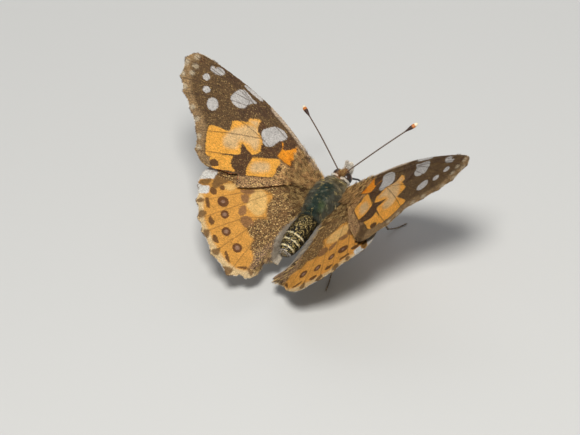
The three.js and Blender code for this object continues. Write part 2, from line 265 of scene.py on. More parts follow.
# One tint laid over another where a marking's signed distance says so, with an edge ragged by scales.
def paintGroup():
    tree, nodes, given, result = shaderGroup("markingPaint", [
        ("Under", "Color", None), ("Tint", "Color", None), ("Distance", "Float", 0.0),
        ("Place", "Vector", None), ("Ragged", "Float", 0.12), ("Soft", "Float", 0.08),
        ("Strength", "Float", 1.0),
    ], [("Color", "Color")])
    fine = nodes.noise(given.outputs["Place"], scaleLook["edgeNoise"])
    sway = nodes.math("MULTIPLY", given.outputs["Ragged"], scaleLook["edgeSway"])
    shifted = nodes.math("MULTIPLY_ADD", nodes.math("SUBTRACT", fine, 0.5), sway, given.outputs["Distance"])
    wide = nodes.math("MAXIMUM", given.outputs["Soft"], scaleLook["edgeLeast"])
    mask = nodes.ramp(shifted, nodes.math("MULTIPLY", wide, -1.0), wide)
    mask = nodes.math("MULTIPLY", mask, given.outputs["Strength"])
    nodes.put(result, 0, nodes.mix(mask, given.outputs["Under"], given.outputs["Tint"]))
    return tree


# Uneven brightness in grains of two sizes, as scales and worn patches give.
def grainGroup():
    tree, nodes, given, result = shaderGroup("scaleGrain", [
        ("Color", "Color", None), ("Place", "Vector", None),
        ("Fine", "Float", 0.25), ("Broad", "Float", 0.15), ("Size", "Float", 1.0), ("Tone", "Float", 0.0),
    ], [("Color", "Color"), ("Height", "Float")])
    sized = nodes.scaled(given.outputs["Place"], given.outputs["Size"])
    fine = nodes.noise(sized, scaleLook["fineNoise"], 1.0)
    broad = nodes.noise(sized, scaleLook["broadNoise"], 3.0)
    fineShade = nodes.math("MULTIPLY", nodes.math("SUBTRACT", fine, 0.5), given.outputs["Fine"])
    broadShade = nodes.math("MULTIPLY", nodes.math("SUBTRACT", broad, 0.5), given.outputs["Broad"])
    shade = nodes.math("ADD", nodes.math("MULTIPLY_ADD", fineShade, scaleLook["sway"], 1.0),
                       nodes.math("MULTIPLY", broadShade, scaleLook["sway"]))
    shade = nodes.math("ADD", shade, given.outputs["Tone"])
    shade = nodes.math("MAXIMUM", shade, scaleLook["darkest"])
    nodes.put(result, 0, nodes.scaled(given.outputs["Color"], shade))
    nodes.put(result, 1, fine)
    return tree


markingPaint = paintGroup()
scaleGrain = grainGroup()


def newMaterial(name):
    material = bpy.data.materials.new(name)
    material.use_nodes = True
    nodes = Nodes(material.node_tree)
    return material, nodes, material.node_tree.nodes["Principled BSDF"]


def addBump(nodes, shader, height, strength, distance):
    bump = nodes.add("ShaderNodeBump", Strength=strength, Distance=distance, Height=height)
    nodes.put(shader, "Normal", bump.outputs[0])


# A skin of scales: a ground colour with tints laid on in order, each read from a marking attribute.
# A layer is a marking, its colour, the ragged and the soft part of its edge in mm, and its strength.
def scaledMaterial(name, ground, layers, fine=0.25, broad=0.15, roughness=0.62):
    material, nodes, shader = newMaterial(name)
    place = nodes.attribute("place", "Vector")
    color = nodes.add("ShaderNodeRGB").outputs[0]
    color.default_value = srgb(*ground)
    for mark, tint, ragged, soft, strength in layers:
        painted = nodes.group(markingPaint, Under=color, Tint=srgb(*tint), Distance=nodes.attribute(mark),
                              Place=place, Ragged=ragged, Soft=soft, Strength=strength)
        color = painted.outputs[0]
    grained = nodes.group(scaleGrain, Color=color, Place=place, Fine=fine, Broad=broad,
                          Size=scaleLook["grainSize"], Tone=nodes.attribute("tone"))
    nodes.put(shader, "Base Color", grained.outputs["Color"])
    nodes.put(shader, "Roughness", roughness)
    nodes.put(shader, "Specular IOR Level", scaleLook["specular"])
    addBump(nodes, shader, grained.outputs["Height"], scaleLook["bump"], scaleLook["bumpDepth"])
    return material


# Every random draw comes from here, always in the same order.
dice = np.random.default_rng(31)

# Wing sheets, mm: the grid that fills them, their thickness and veins, and their bends out of the plane.
wingSizes = {
    "grid": 0.19, "halfThickness": 0.075, "rimThickness": 0.02, "veinRise": 0.09, "veinWidth": 0.16,
    "pleat": 0.05, "pleatReach": 1.2, "foreLength": 31.0, "foreArch": 0.35, "foreSink": -0.08,
    "foreWave": 0.05, "hindDrop": 1.0, "hindNear": 0.35, "hindLift": 0.2, "hindWave": 0.06,
    "innerFold": 0.5, "tailCurl": 0.7,
}
outlineSteps = {"costa": 12, "apex": 10, "margin": 12, "trailing": 10}

# Wing shapes: [out, fore] mm from the hinge.
forewing = {
    "costa": [(-0.9, 0.5), (0.6, 1.1), (3.8, 2.5), (8.5, 4.3), (13.5, 5.6), (19.3, 6.3), (25, 6.5)],
    "apex": [(25, 6.5), (28.2, 6.3), (29.9, 5.6), (30.8, 3.9)],
    "margin": [(30.8, 3.9), (29.7, 0.6), (27.7, -1.5), (25, -3.4), (22.1, -5.9), (20.2, -9), (17.3, -11.6)],
    "trailing": [(17.3, -11.6), (16, -12.5), (14, -12.1), (11.5, -10.6), (8.4, -8.4), (4.6, -4.7),
                 (2.4, -3), (-0.9, -1.9)],
    "hollow": 0.3,
    "veins": [
        [(-0.6, 0), (5.5, 2.4), (10, 3.9), (15, 5.3)],
        [(-0.6, -0.2), (5.5, 1.8), (12.9, 3.4), (20, 4.7), (25, 5), (29.4, 5.2)],
        [(13.2, 3.5), (17, 5), (19.8, 5.7)],
        [(16.6, 4.2), (20.5, 5.4), (23, 5.9)],
        [(20, 4.7), (23.5, 5.5), (26.3, 5.9)],
        [(22.5, 4.8), (27, 4.5), (30.1, 3.8)],
        [(17.5, 4.2), (22.5, 3.3), (29, 0.6)],
        [(17.3, 3.2), (21.5, 1.7), (27.1, -1.4)],
        [(-0.6, -0.5), (4, -1.3), (8.5, -1.1), (12, -0.2), (16.8, 0.1), (20.5, -0.9), (24.5, -3.1)],
        [(17.5, 4.2), (17.1, 2.2), (16.8, 0.1)],
        [(12, -0.2), (16.2, -2.4), (21.6, -5.7)],
        [(8, -1.1), (11.8, -4.3), (19.6, -8.8)],
        [(-0.6, -0.9), (3.9, -3.3), (9.9, -7.1), (16.2, -11.8)],
    ],
}

hindwing = {
    "costa": [(-1.6, -1.6), (1.5, -1.7), (5.5, -3), (10, -4.9), (13.8, -7), (16.1, -9.3)],
    "apex": [(16.1, -9.3), (16.7, -11.3), (16.2, -13.7)],
    "margin": [(16.2, -13.7), (15, -16.3), (13, -18.9), (11.1, -20.4), (7.6, -22.8), (3.4, -24.2),
               (-0.6, -22.6), (-2.4, -21)],
    "trailing": [(-2.4, -21), (-2.7, -19), (-2.5, -15), (-2.2, -11), (-1.9, -7), (-1.6, -4)],
    "hollow": 0.4,
    "veins": [
        [(-1, -2.6), (5, -4), (11, -6.4), (15.7, -10.2)],
        [(1.6, -3.9), (7, -6.6), (12, -9.8), (15.8, -13.4)],
        [(4.6, -5.8), (9.5, -10.2), (14.6, -16.4)],
        [(4.6, -5.8), (7.8, -11.2), (12.7, -18.8)],
        [(-1, -3.4), (1.6, -8.4), (3.6, -11.3), (6.8, -14.2), (10.7, -20.3)],
        [(3.6, -11.3), (5.2, -15.6), (7.4, -22.3)],
        [(1.7, -8.6), (2.9, -16.5), (3.3, -23.6)],
        [(-1.2, -4), (-0.5, -12), (-0.4, -22)],
    ],
}

# What wear has taken from each wing.
wear = {
    "forewing_left": [
        [(20.8, -9.7), (17.1, -10.3), (14.8, -9.4), (12.7, -8.6), (11.9, -8), (11.3, -8.9), (10.6, -10.4),
         (10.6, -14), (22, -14)],
        [(31.6, 1.4), (30.2, 2.2), (31.6, 2.9)],
    ],
    "forewing_right": [[(24.6, -6), (22.6, -4.7), (21.7, -6.2)]],
    "hindwing_left": [
        [(-0.9, -17.6), (-0.7, -20.6), (-0.3, -22), (0.4, -22.8), (0.4, -26), (-5, -26), (-5, -17.6)],
        [(17.2, -14.9), (15.9, -15), (15.4, -15.9), (16.6, -16.8), (17.6, -15.6)],
        [(2.7, -25.4), (1.9, -23), (1.1, -22.6), (0.2, -23.2), (0.2, -25.4)],
    ],
    "hindwing_right": [
        [(10.4, -21.4), (8.6, -21.9), (6.6, -22.8), (4.9, -22.9), (2.4, -22.3), (1.6, -21.7), (-0.4, -21.2),
         (-3, -20.6), (-3, -26), (10.4, -26)],
    ],
}


# The outline: smooth edges, and an outer margin that is hollow between the vein ends.
def wingOutline(design):
    edges = ("costa", "apex", "trailing")
    costa, apex, trailing = [smoothLine(design[edge], outlineSteps[edge]) for edge in edges]
    line = [costa, apex[1:]]
    ends = np.array(design["margin"], float)
    for start, end in zip(ends[:-1], ends[1:]):
        chord = end - start
        inward = np.array([chord[1], -chord[0]]) / np.hypot(*chord)
        for t in np.arange(1, outlineSteps["margin"] + 1) / outlineSteps["margin"]:
            line.append([start + chord * t + inward * design["hollow"] * 4 * t * (1 - t)])
    line.append(trailing[1:])
    return np.concatenate(line)


def inside(points, outline):
    a = np.asarray(outline, float)
    b = np.roll(a, -1, 0)
    crossed = np.zeros(len(points), bool)
    for (ax, ay), (bx, by) in zip(a, b):
        spans = (ay > points[:, 1]) != (by > points[:, 1])
        reach = (bx - ax) * (points[:, 1] - ay) / (by - ay + 1e-12) + ax
        crossed ^= spans & (points[:, 0] < reach)
    return crossed


def lineDistance(points, line):
    line = np.asarray(line, float)
    best = np.full(len(points), 1e9)
    for a, b in zip(line[:-1], line[1:]):
        span = b - a
        t = np.clip((points - a) @ span / (span @ span + 1e-12), 0, 1)
        gap = points - a - t[:, None] * span
        best = np.minimum(best, (gap * gap).sum(1))
    return np.sqrt(best)


def ringDistance(points, loop):
    return lineDistance(points, np.vstack([loop, loop[:1]]))


# Signed distance in mm to the nearest of some shapes, positive inside, held to one millimetre.
# A shape is an outline, or (out, fore, radius), or (out, fore, across, along, turn in degrees).
def markField(points, shapes, reach=1.0):
    field = np.full(len(points), -reach)
    for shape in shapes:
        if np.isscalar(shape[0]):
            out, fore, across = shape[:3]
            along = shape[3] if len(shape) > 3 else across
            turn = math.radians(shape[4]) if len(shape) > 4 else 0.0
            dx, dy = points[:, 0] - out, points[:, 1] - fore
            u = dx * math.cos(turn) + dy * math.sin(turn)
            v = dy * math.cos(turn) - dx * math.sin(turn)
            value = (1 - np.hypot(u / across, v / along)) * min(across, along)
            field = np.maximum(field, np.clip(value, -reach, reach))
            continue
        outline = smoothLine(shape, 3, closed=True)
        low, high = outline.min(0) - reach, outline.max(0) + reach
        near = np.flatnonzero(((points > low) & (points < high)).all(1))
        if len(near) == 0:
            continue
        spots = points[near]
        gap = ringDistance(spots, outline)
        value = np.where(inside(spots, outline), gap, -gap)
        field[near] = np.maximum(field[near], np.clip(value, -reach, reach))
    return field


# Markings of the upper side, by tint.
foreMarks = {
    "base": [
        [(-2, 2), (3.6, 2.3), (6.4, 2.6), (6.2, 1.6), (5.2, -0.3), (5.4, -1.3), (7.2, -1.5), (6.8, -2.6),
         (6.6, -3.9), (7, -5.2), (9.8, -7.1), (12, -8.8), (12, -12), (-2, -4)],
    ],
    "inner": [[(5, -4.6), (7.6, -5.9), (10.4, -7.5), (12.4, -8.4), (12.3, -11.5), (9, -9.4), (4.4, -4.9)]],
    "olive": [
        [(32, 5), (30.4, 4.4), (28.4, 2.2), (26.6, -0.4), (24.4, -2), (22, -3.4), (20.8, -4.6),
         (18.8, -8.2), (17.4, -8.6), (15.6, -10.2), (17, -13), (22, -9), (26, -4.4), (31, -1)],
        [(29, 7), (28.8, 5.2), (29.4, 3.6), (31.4, 3), (31.4, 6.4)],
    ],
    "orange": [
        [(20.6, -4.1), (19.4, -3.2), (17.3, -2.6), (17.8, -0.7), (16.6, 0.2), (15.6, 0.8), (15.7, 1.6),
         (13.8, 2.5), (13.4, 0.7), (12, -0.2), (11.4, -1.1), (10.9, -2.2), (11.8, -3.7), (13.1, -3.4),
         (14.3, -3), (13.5, -4.9), (15.6, -6.5), (17.6, -8.6), (18.8, -7.8)],
        [(17.2, -8), (14.3, -6), (13.9, -7.2), (12.4, -7.9), (14, -8.9), (15.6, -9.9), (16.8, -9.4)],
        [(11.4, -4.6), (11.3, -3.8), (9.4, -2.6), (7.6, -1.4), (7, -2.1), (7, -3), (6.7, -3.9), (7.1, -5.1),
         (10, -7.1), (10.8, -7.4), (11.2, -6.4)],
    ],
    "pale": [
        [(16.9, -1.9), (15.4, 0.2), (13.9, 1), (13, 0), (12, -1), (11.8, -2.6), (13.4, -2.4), (14.9, -3),
         (14.6, -4.4), (16.4, -5.4), (17.4, -4)],
        [(15.4, 1.2), (14.2, 2), (13.9, 1)],
        [(10.6, -4.4), (8.6, -3.2), (8, -4.4), (10, -6.2), (10.8, -5.6)],
    ],
    "bright": [
        [(9.4, 1.8), (8.3, 1.3), (7.7, 0.6), (6.8, 1.6), (6.2, 2.2), (5.4, -0.3), (5.4, -1.3), (8.5, -1.1),
         (8.2, 0.4), (9.2, 1.5)],
    ],
    "dark": [
        [(14.3, -3), (13.1, -3.4), (11.8, -3.7), (11.4, -4.6), (11.3, -6.1), (10.6, -7.4), (11.4, -8.1),
         (12.9, -7.8), (13.9, -7.2), (14.2, -5.9), (13.5, -4.9), (13.9, -4)],
        [(11.4, -1.1), (10, -0.7), (9.8, 0.6), (9.3, 1.7), (8.6, 1.2), (8.2, 0.4), (8.3, -1.4), (9.9, -2.7),
         (10.9, -2.2)],
        [(8.4, 1), (8.4, 2.3), (8.2, 3.2), (6.4, 2.5), (7.7, 0.6)],
        [(13.6, 0.9), (13.9, 2.4), (12.9, 2.2), (12.4, 1.1), (12.9, 0.3)], (28.2, 5.3, 0.45, 0.7, 20),
        (6.6, -2.9, 0.4, 0.6, 0), [(16.9, -8.7), (16.2, -8.3), (15.3, -8.9), (16.1, -9.7), (16.9, -9.5)],
    ],
    "deep": [
        [(24.9, 6.4), (23.4, 5.4), (20.6, 5.2), (20.6, 6.3)],
        [(18.6, 2), (17.4, 0.8), (15.8, 1.2), (15.6, 2.6), (13.8, 3.4), (12.8, 4.6), (15.8, 5.4),
         (16.8, 3.4)],
    ],
    "white": [
        [(26.3, 5), (26, 5.6), (25.5, 5.4), (25.3, 5.9), (24.5, 6.1), (23.7, 5.7), (24, 5), (24.8, 4.6),
         (25.7, 4.6)],
        (25.9, 3.2, 0.62), (24.6, 1.3, 0.64), (22.3, -0.3, 1.0, 1.2, -30),
        [(20.3, 2.4), (20.5, 3.4), (20.2, 4.5), (19.6, 5.2), (18.6, 5.2), (17.4, 4.8), (16.3, 4.6),
         (17.2, 3.7), (17.6, 2.4), (18.9, 1.9)],
        [(19.4, 6.2), (16.2, 6), (16, 5.4), (19.3, 5.7)],
        [(12.7, 0.8), (12.6, 1.6), (12.2, 2.2), (11.4, 3), (10, 3.4), (8.7, 2.9), (8.8, 2), (9.4, 1.3),
         (9.9, -0.3), (10.6, -0.8), (11.6, -0.6)],
    ],
    "cream": [
        (28.5, 3.7, 0.5, 0.4), (29.2, 5.2, 0.45), (28.3, 2.3, 0.45), (30.2, 3.3, 0.5, 0.7),
        (29.6, 1.2, 0.5), (28, -0.6, 0.5), (24.8, -2.9, 0.5), (23, -4.2, 0.45), (21, -6.6, 0.4),
        (19.9, -8.3, 0.4),
    ],
    "costa": [
        [(-0.5, 1.4), (1.2, 0.8), (4, 2), (7, 3.2), (9.4, 4), (11.8, 4.6), (13.6, 5.2), (13.6, 6.4), (8, 5),
         (2, 2.6)],
    ],
}

hindMarks = {
    "base": [
        [(6.8, -7.3), (5.4, -7), (4.7, -7.6), (4.7, -9.3), (3.9, -10.8), (3.4, -11.6), (4.6, -12.4),
         (5, -13.7), (5.1, -15), (4.1, -15.8), (3.2, -16.1), (3, -17.5), (1.8, -18.2), (1.2, -19),
         (0.7, -21), (-4, -22), (-4, 0), (6, -1), (15, -6), (17, -9.6), (13.6, -10), (12.4, -9.4),
         (10.7, -9.6), (8.6, -8.1)],
    ],
    "inner": [
        [(1.6, -18), (0.9, -16), (0.1, -13.9), (-1, -13), (-4, -15), (-4, -24), (1, -24), (0.7, -19.9)],
    ],
    "strip": [
        [(0.2, -13.6), (0.2, -11.5), (-0.2, -9.3), (-1, -7), (-3.4, -6), (-4, -14), (-3, -19),
         (-0.9, -16.4)],
    ],
    "pink": [[(11.1, -9.5), (10.8, -8.3), (6, -4.7), (5.5, -5.2), (7.5, -7.5), (10.1, -9.3)]],
    "pale": [
        [(7.9, -9.8), (8.1, -8.4), (6.9, -7.4), (5.6, -8), (4.5, -10.4), (4.7, -11.8), (5.7, -12.2),
         (7.3, -11.8), (7.7, -11.2)],
        [(12.7, -10.7), (11.5, -9.6), (10.7, -9.8), (11.1, -10.9), (12.1, -11.3)],
    ],
    "blotch": [
        [(9.8, -9.7), (9, -9), (8.2, -8.2), (7.7, -8.7), (8.4, -9.8), (9.6, -10.1)],
        [(9.3, -10.5), (8.2, -9.8), (7.6, -11.1), (8.4, -11.5)],
        [(8.2, -12.5), (7.6, -11.8), (6.8, -12.8), (7.2, -13.8), (7.9, -13.7)],
        [(7.1, -14.1), (6.4, -13.2), (5.2, -13.2), (4.6, -13.9), (5.3, -15.1), (6.6, -14.9)],
    ],
    "dark": [
        [(13.8, -15.1), (13.6, -14.5), (12.9, -15.2), (12.3, -16), (12.9, -16.1)],
        [(11.3, -18), (11.5, -17.1), (10.8, -17.4), (10.2, -17.6), (10.4, -18.4)],
        [(9.2, -19.7), (8.6, -19.5), (7.6, -20.3), (8.6, -20.6)],
        [(6, -20.8), (5.5, -20.8), (4.1, -22), (5.1, -21.9)],
        [(2.8, -22), (2.2, -21.3), (1.4, -20.8), (1.3, -21.4), (2, -21.7)], (13.5, -12.9, 0.75, 0.6, 40),
        (12.6, -11.4, 0.45),
    ],
    "margin": [
        [(14.8, -16.4), (14.7, -15.5), (14, -15.2), (13.9, -16)],
        [(13.4, -18.1), (13.3, -17.3), (12.4, -16.9), (12.2, -17.8), (12.8, -18.6)],
        [(11, -20), (10.2, -19.4), (9.6, -20.4), (10, -21)],
        [(7.9, -22.1), (6.9, -21), (6.5, -22.2), (7.3, -22.5)],
        [(4.8, -23.4), (3.2, -22.6), (3, -23.6), (3.7, -24.4)], [(1.2, -21), (0.1, -20.7), (-0.1, -21.9)],
        [(16.3, -13.2), (16.2, -12.3), (15, -11.2), (14.8, -12), (15.3, -12.9)],
        [(14.7, -10.7), (14.6, -9.6), (12.6, -8.6), (11.8, -8.8), (12.8, -10.6), (13.4, -12.2),
         (14.2, -12.2)],
    ],
    "white": [
        [(16.7, -12.6), (17.4, -11.4), (16.3, -9.2), (14.9, -9.4), (14.6, -10.8), (15.3, -11.4),
         (16.2, -12.2)],
        [(16.6, -14.9), (16.6, -13.4), (15.6, -13.2), (14.7, -12.6), (14.3, -12.9), (14.1, -13.9),
         (15.4, -14.8)],
    ],
    "cream": [
        [(17, -14), (14.6, -14.6), (13.2, -16.6), (11.6, -18.6), (9.2, -20.2), (6.6, -21.6), (3.6, -22.3),
         (1.6, -21.8), (0.4, -21), (-1.2, -20.6), (-1, -24), (4, -26), (12, -22), (18, -15)],
    ],
    "ring": [(11.1, -13.6, 1.0), (9.6, -15.4, 0.74), (7.7, -17.8, 0.8), (4.6, -19, 0.86)],
    "pupil": [(11.1, -13.6, 0.3), (9.6, -15.4, 0.34), (7.7, -17.8, 0.36), (4.6, -19, 0.42)],
}

# Markings of the underside.
foreMarksBelow = {
    "orange": [
        [(-2, 1), (7, 2.4), (13.8, 2.6), (16, 1.2), (17.8, -0.7), (20, -4), (18.4, -8), (15, -9.6),
         (8, -7.6), (-2, -3)],
    ],
    "pale": [[(0, 0.6), (5, 0.9), (8, -0.4), (8, -3.8), (4, -3.6), (0, -1.4)]],
    "dark": foreMarks["dark"][:4] + [
        [(16, 3.4), (18.6, 1.6), (20.8, 0.4), (21, -2.6), (18.4, -1.2), (15.8, 1.4), (13.8, 2.8),
         (12.8, 4.4), (15, 4.8)],
    ],
    "white": foreMarks["white"],
    "olive": [
        [(20.8, 6.6), (21, 4.6), (22.6, 3), (22.4, 0.6), (21.8, -2.2), (19.4, -5.6), (18.2, -8.6),
         (16, -10.6), (17.4, -13), (22, -9), (27, -4), (32, 2), (31, 7)],
    ],
    "cream": [
        [(30.4, 5.4), (28.8, 4.6), (27, 0.6), (24.6, -1.6), (24, -2.6), (27, -1.6), (30, 1.4)],
        (23, 5.8, 0.5), (27.2, 5.9, 0.6, 0.4), (14.2, 5.4, 1.2, 0.35, 12), (21, -5.6, 0.5),
        (19.6, -7.6, 0.45),
    ],
    "ring": [(26, 3.2, 0.75), (24.7, 1.3, 0.7), (22.4, -0.3, 1.1, 1.3, -30)],
    "pupil": [(26, 3.2, 0.35), (24.7, 1.3, 0.3)],
}
hindMarksBelow = {
    "pale": [
        [(2, -4), (6, -5), (5, -7), (2, -6)], [(8, -9), (10, -8), (11.4, -9.4), (10, -11.6), (8, -11)],
        [(5.4, -12.4), (7.4, -13), (7, -15), (5, -14.8)], [(2, -12), (3.4, -13), (3.4, -16), (2, -15)],
        [(12.6, -7.4), (14.8, -8.8), (14.4, -10), (12.8, -9.4)], [(-1, -5), (0.6, -6), (0.6, -9), (-1, -9)],
    ],
    "olive": [
        [(3, -7), (6, -7.4), (8, -9), (7, -11.4), (4.6, -11), (3, -9)],
        [(10, -6), (12.6, -7.6), (12.4, -9.6), (10.4, -8.4)],
        [(11.2, -10), (13.8, -10.6), (14.6, -12), (12.6, -12), (11, -11.4)],
        [(7.6, -12), (9.8, -12), (9, -13.6), (7.4, -14.4)], [(3.6, -13), (5, -13), (5, -16.4), (3.6, -16)],
        [(0, -10), (1.8, -11), (2, -16), (0.4, -17)], [(0, -2), (4, -3), (7, -4.8), (3, -4.4)],
    ],
    "blotch": [
        [(13.6, -11.6), (15.2, -13.6), (11, -18.4), (7, -20.6), (3.4, -21.6), (0, -19.6), (0.6, -17.6),
         (5, -17), (8.4, -15.6), (10.8, -12.6)],
    ],
    "ring": [
        (11.3, -13.7, 1.1), (9.7, -15.6, 0.8), (7.7, -17.8, 0.85), (4.6, -19.1, 1.15), (1.8, -19.2, 0.5),
        (13.4, -12.4, 0.5),
    ],
    "iris": [(11.3, -13.7, 0.8), (9.7, -15.6, 0.5), (7.7, -17.8, 0.55), (4.6, -19.1, 0.85)],
    "pupil": [(11.3, -13.7, 0.42), (9.7, -15.6, 0.25), (7.7, -17.8, 0.25), (4.6, -19.1, 0.45)],
    "cream": hindMarks["cream"],
    "margin": [
        [(15.4, -14.8), (12.2, -18.8), (9.6, -20.6), (6.4, -22), (3.4, -22.8), (3.5, -23.1), (6.6, -22.4),
         (9.9, -21), (12.6, -19.1), (15.7, -15)],
    ],
}
# The markings of each kind of wing: its upper side, then its underside.
markTables = {"forewing": (foreMarks, foreMarksBelow), "hindwing": (hindMarks, hindMarksBelow)}
markNames = sorted(set(foreMarks) | set(hindMarks) | set(foreMarksBelow) | set(hindMarksBelow))
designs = {"forewing": forewing, "hindwing": hindwing}
veinLines = {kind: [smoothLine(vein) for vein in design["veins"]] for kind, design in designs.items()}


# How high a wing's sheet lies over its own plane, mm. Depth counts towards the tail.
def sheetHeight(kind, points):
    out, depth = points[:, 0], -points[:, 1]
    if kind == "forewing":
        arch = wingSizes["foreArch"] * np.sin(np.pi * np.clip(out / wingSizes["foreLength"], 0, 1))
        wave = wingSizes["foreWave"] * np.sin(out * 0.9) * smoothStep(2, 8, depth)
        return arch + wingSizes["foreSink"] + wave
    drop = wingSizes["hindDrop"]
    behind = depth - (0.9 + 0.72 * out)
    height = -drop + (drop - wingSizes["hindNear"]) * smoothStep(0.5, 6.5, behind) + wingSizes["hindLift"]
    fold = (1 - smoothStep(-2.4, 0.4, out)) * smoothStep(5, 8, depth) * (1 - smoothStep(15.5, 18.5, depth))
    curl = (1 - smoothStep(-2.4, 0.5, out)) * smoothStep(17.5, 20.5, depth)
    wave = wingSizes["hindWave"] * np.sin(out * 0.8 + depth * 0.4) * smoothStep(12, 19, depth)
    return height - wingSizes["innerFold"] * fold + wingSizes["tailCurl"] * curl + wave


def veinGap(kind, points):
    return np.min([lineDistance(points, line) for line in veinLines[kind]], axis=0)


def wingFields(kind, points, below):
    marks = markTables[kind][below]
    return {name: markField(points, marks.get(name, [])) for name in markNames}


# Single gilt and sooty scales strewn through the brown parts of the upper side: the share of each.
flecks = {"gilt": 0.17, "sooty": 0.2}
lightMarks = {"forewing": ["orange", "white", "bright"], "hindwing": ["white", "cream", "strip"]}


def strewFlecks(kind, fields, below, gain):
    count = len(fields["base"])
    brown = np.max([fields[name] for name in lightMarks[kind]], axis=0) < 0
    inner = fields["base"] > 0
    if kind == "hindwing":
        brown &= inner
    fields["tone"] = dice.normal(0, 1, count) * np.where(brown, 0.26, 0.12)
    draw = dice.random(count)
    for name, share in flecks.items():
        share = share * gain * np.where(inner, 1.0, 0.7)
        chosen = (draw >= 0) & (draw < share) & brown & (not below)
        fields[name] = np.where(chosen, np.where(inner, 0.5, -0.03), -1.0)
        draw = draw - share


# A wing's name gives its kind and its side, 1 for the left one and -1 for the right one.
def wingKind(name):
    kind, sideName = name.split("_")
    return kind, dict(bothSides)[sideName]


def wingBites(name):
    return [smoothLine(bite, 4, closed=True) for bite in wear[name]]


# Spots that lie on a wing and in none of the bites that wear took.
def onWing(spots, outline, bites):
    kept = inside(spots, outline)
    for bite in bites:
        kept &= ~inside(spots, bite)
    return kept


# An even grid of triangles that fills an outline less its bites.
def fillOutline(outline, bites):
    points, edges = [], []
    for loop in [outline] + bites:
        start = len(points)
        points.extend(loop)
        edges.extend((start + i, start + (i + 1) % len(loop)) for i in range(len(loop)))
    step = wingSizes["grid"]
    low, high = outline.min(0), outline.max(0)
    grid = []
    for i, fore in enumerate(np.arange(low[1], high[1], step * 0.87)):
        across = np.arange(low[0] + (i % 2) * step / 2, high[0], step)
        grid.append(np.stack([across, np.full(len(across), fore)], -1))
    grid = np.concatenate(grid)
    grid = grid[onWing(grid, outline, bites)]
    for loop in [outline] + bites:
        grid = grid[ringDistance(grid, loop) > step * 0.5]
    points.extend(grid)
    flat = [Vector((float(x), float(y))) for x, y in points]
    spots, _, faces, _, _, _ = geometry.delaunay_2d_cdt(flat, edges, [], 0, 1e-5)
    spots, faces = np.array([tuple(s) for s in spots]), np.array(faces)
    faces = faces[onWing(spots[faces].mean(1), outline, bites)]
    used = np.unique(faces)
    renumber = np.full(len(spots), -1)
    renumber[used] = np.arange(len(used))
    spots, faces = spots[used], renumber[faces]
    a, b, c = [spots[faces[:, i]] for i in range(3)]
    turned = np.cross(b - a, c - a) < 0
    faces[turned] = faces[turned][:, ::-1]
    return spots, faces


# The edges that only one triangle has, each in that triangle's direction.
def borderOf(faces):
    directed = {(face[i], face[(i + 1) % 3]): True for face in faces for i in range(3)}
    return [edge for edge in directed if (edge[1], edge[0]) not in directed]


# The distance to the nearest vein, and the middle height and half thickness of a wing's sheet, mm.
def wingSheet(kind, spots, worn):
    gap = veinGap(kind, spots)
    height = sheetHeight(kind, spots) - wingSizes["pleat"] * smoothStep(0, wingSizes["pleatReach"], gap)
    toTip = np.clip(np.hypot(spots[:, 0], spots[:, 1]) / 30, 0, 1)
    vein = np.exp(-(gap / wingSizes["veinWidth"]) ** 2) * wingSizes["veinRise"] * (1.2 - 0.8 * toTip)
    rim = wingSizes["rimThickness"]
    half = rim + (wingSizes["halfThickness"] - rim) * smoothStep(0, 0.4, worn)
    return gap, height, half + vein * smoothStep(0, 0.3, worn)


# Places of the grain on a wing, mm. The underside's are moved away, so that its grain is its own.
def grainPlaces(spots, below):
    return np.column_stack([spots, np.full(len(spots), 40.0 if below else 0.0)])


# A thin wing: its outline less its wear, with raised veins on both faces.
def buildWing(name, materials):
    kind, side = wingKind(name)
    outline, bites = wingOutline(designs[kind]), wingBites(name)
    spots, faces = fillOutline(outline, bites)
    worn = np.min([ringDistance(spots, loop) for loop in [outline] + bites], axis=0)
    gap, height, half = wingSheet(kind, spots, worn)
    count = len(spots)
    top = wingToRow(np.column_stack([spots, height + half]), side)
    bottom = wingToRow(np.column_stack([spots, height - half]), side)
    # The left wing's faces are turned over, so that they look outwards.
    turn = -1 if side > 0 else 1
    upper = faces[:, ::turn]
    lower = faces[:, ::-turn] + count
    rim = [(end, start, start + count, end + count)[::turn] for start, end in borderOf(faces)]
    piece = meshObject(name + "_scaled", np.vstack([top, bottom]), list(upper) + list(lower) + rim)
    mesh = piece.data
    for material in materials:
        mesh.materials.append(material)
    slots = np.zeros(len(mesh.polygons), np.int32)
    slots[len(faces):2 * len(faces)] = 1
    mesh.polygons.foreach_set("material_index", slots)
    smoothShade(piece)
    above, below = wingFields(kind, spots, False), wingFields(kind, spots, True)
    for mark in flecks:
        storeFloats(mesh, mark, np.full(2 * count, -1.0))
    for mark in markNames:
        storeFloats(mesh, mark, np.concatenate([above[mark], below[mark]]))
    storeFloats(mesh, "vein", np.tile(np.minimum(gap, 2), 2))
    storeVectors(mesh, "place", np.vstack([grainPlaces(spots, False), grainPlaces(spots, True)]))
    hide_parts(name)
    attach(piece, "root")
    print(name, len(faces) * 2 + len(rim) * 2, "triangles")


# A wing's material with its veins drawn over it in a tint of their own.
def veinLayered(material, tint, width, strength):
    tree = material.node_tree
    nodes = Nodes(tree)
    shader = tree.nodes["Principled BSDF"]
    base = shader.inputs["Base Color"].links[0].from_socket
    near = nodes.ramp(nodes.attribute("vein"), width * 0.35, width, strength, 0.0)
    nodes.put(shader, "Base Color", nodes.mix(near, base, srgb(*tint)))
    return material


fleckLayers = [("gilt", (214, 180, 116), 0.02, 0.1, 0.9), ("sooty", (40, 28, 18), 0.02, 0.1, 0.9)]

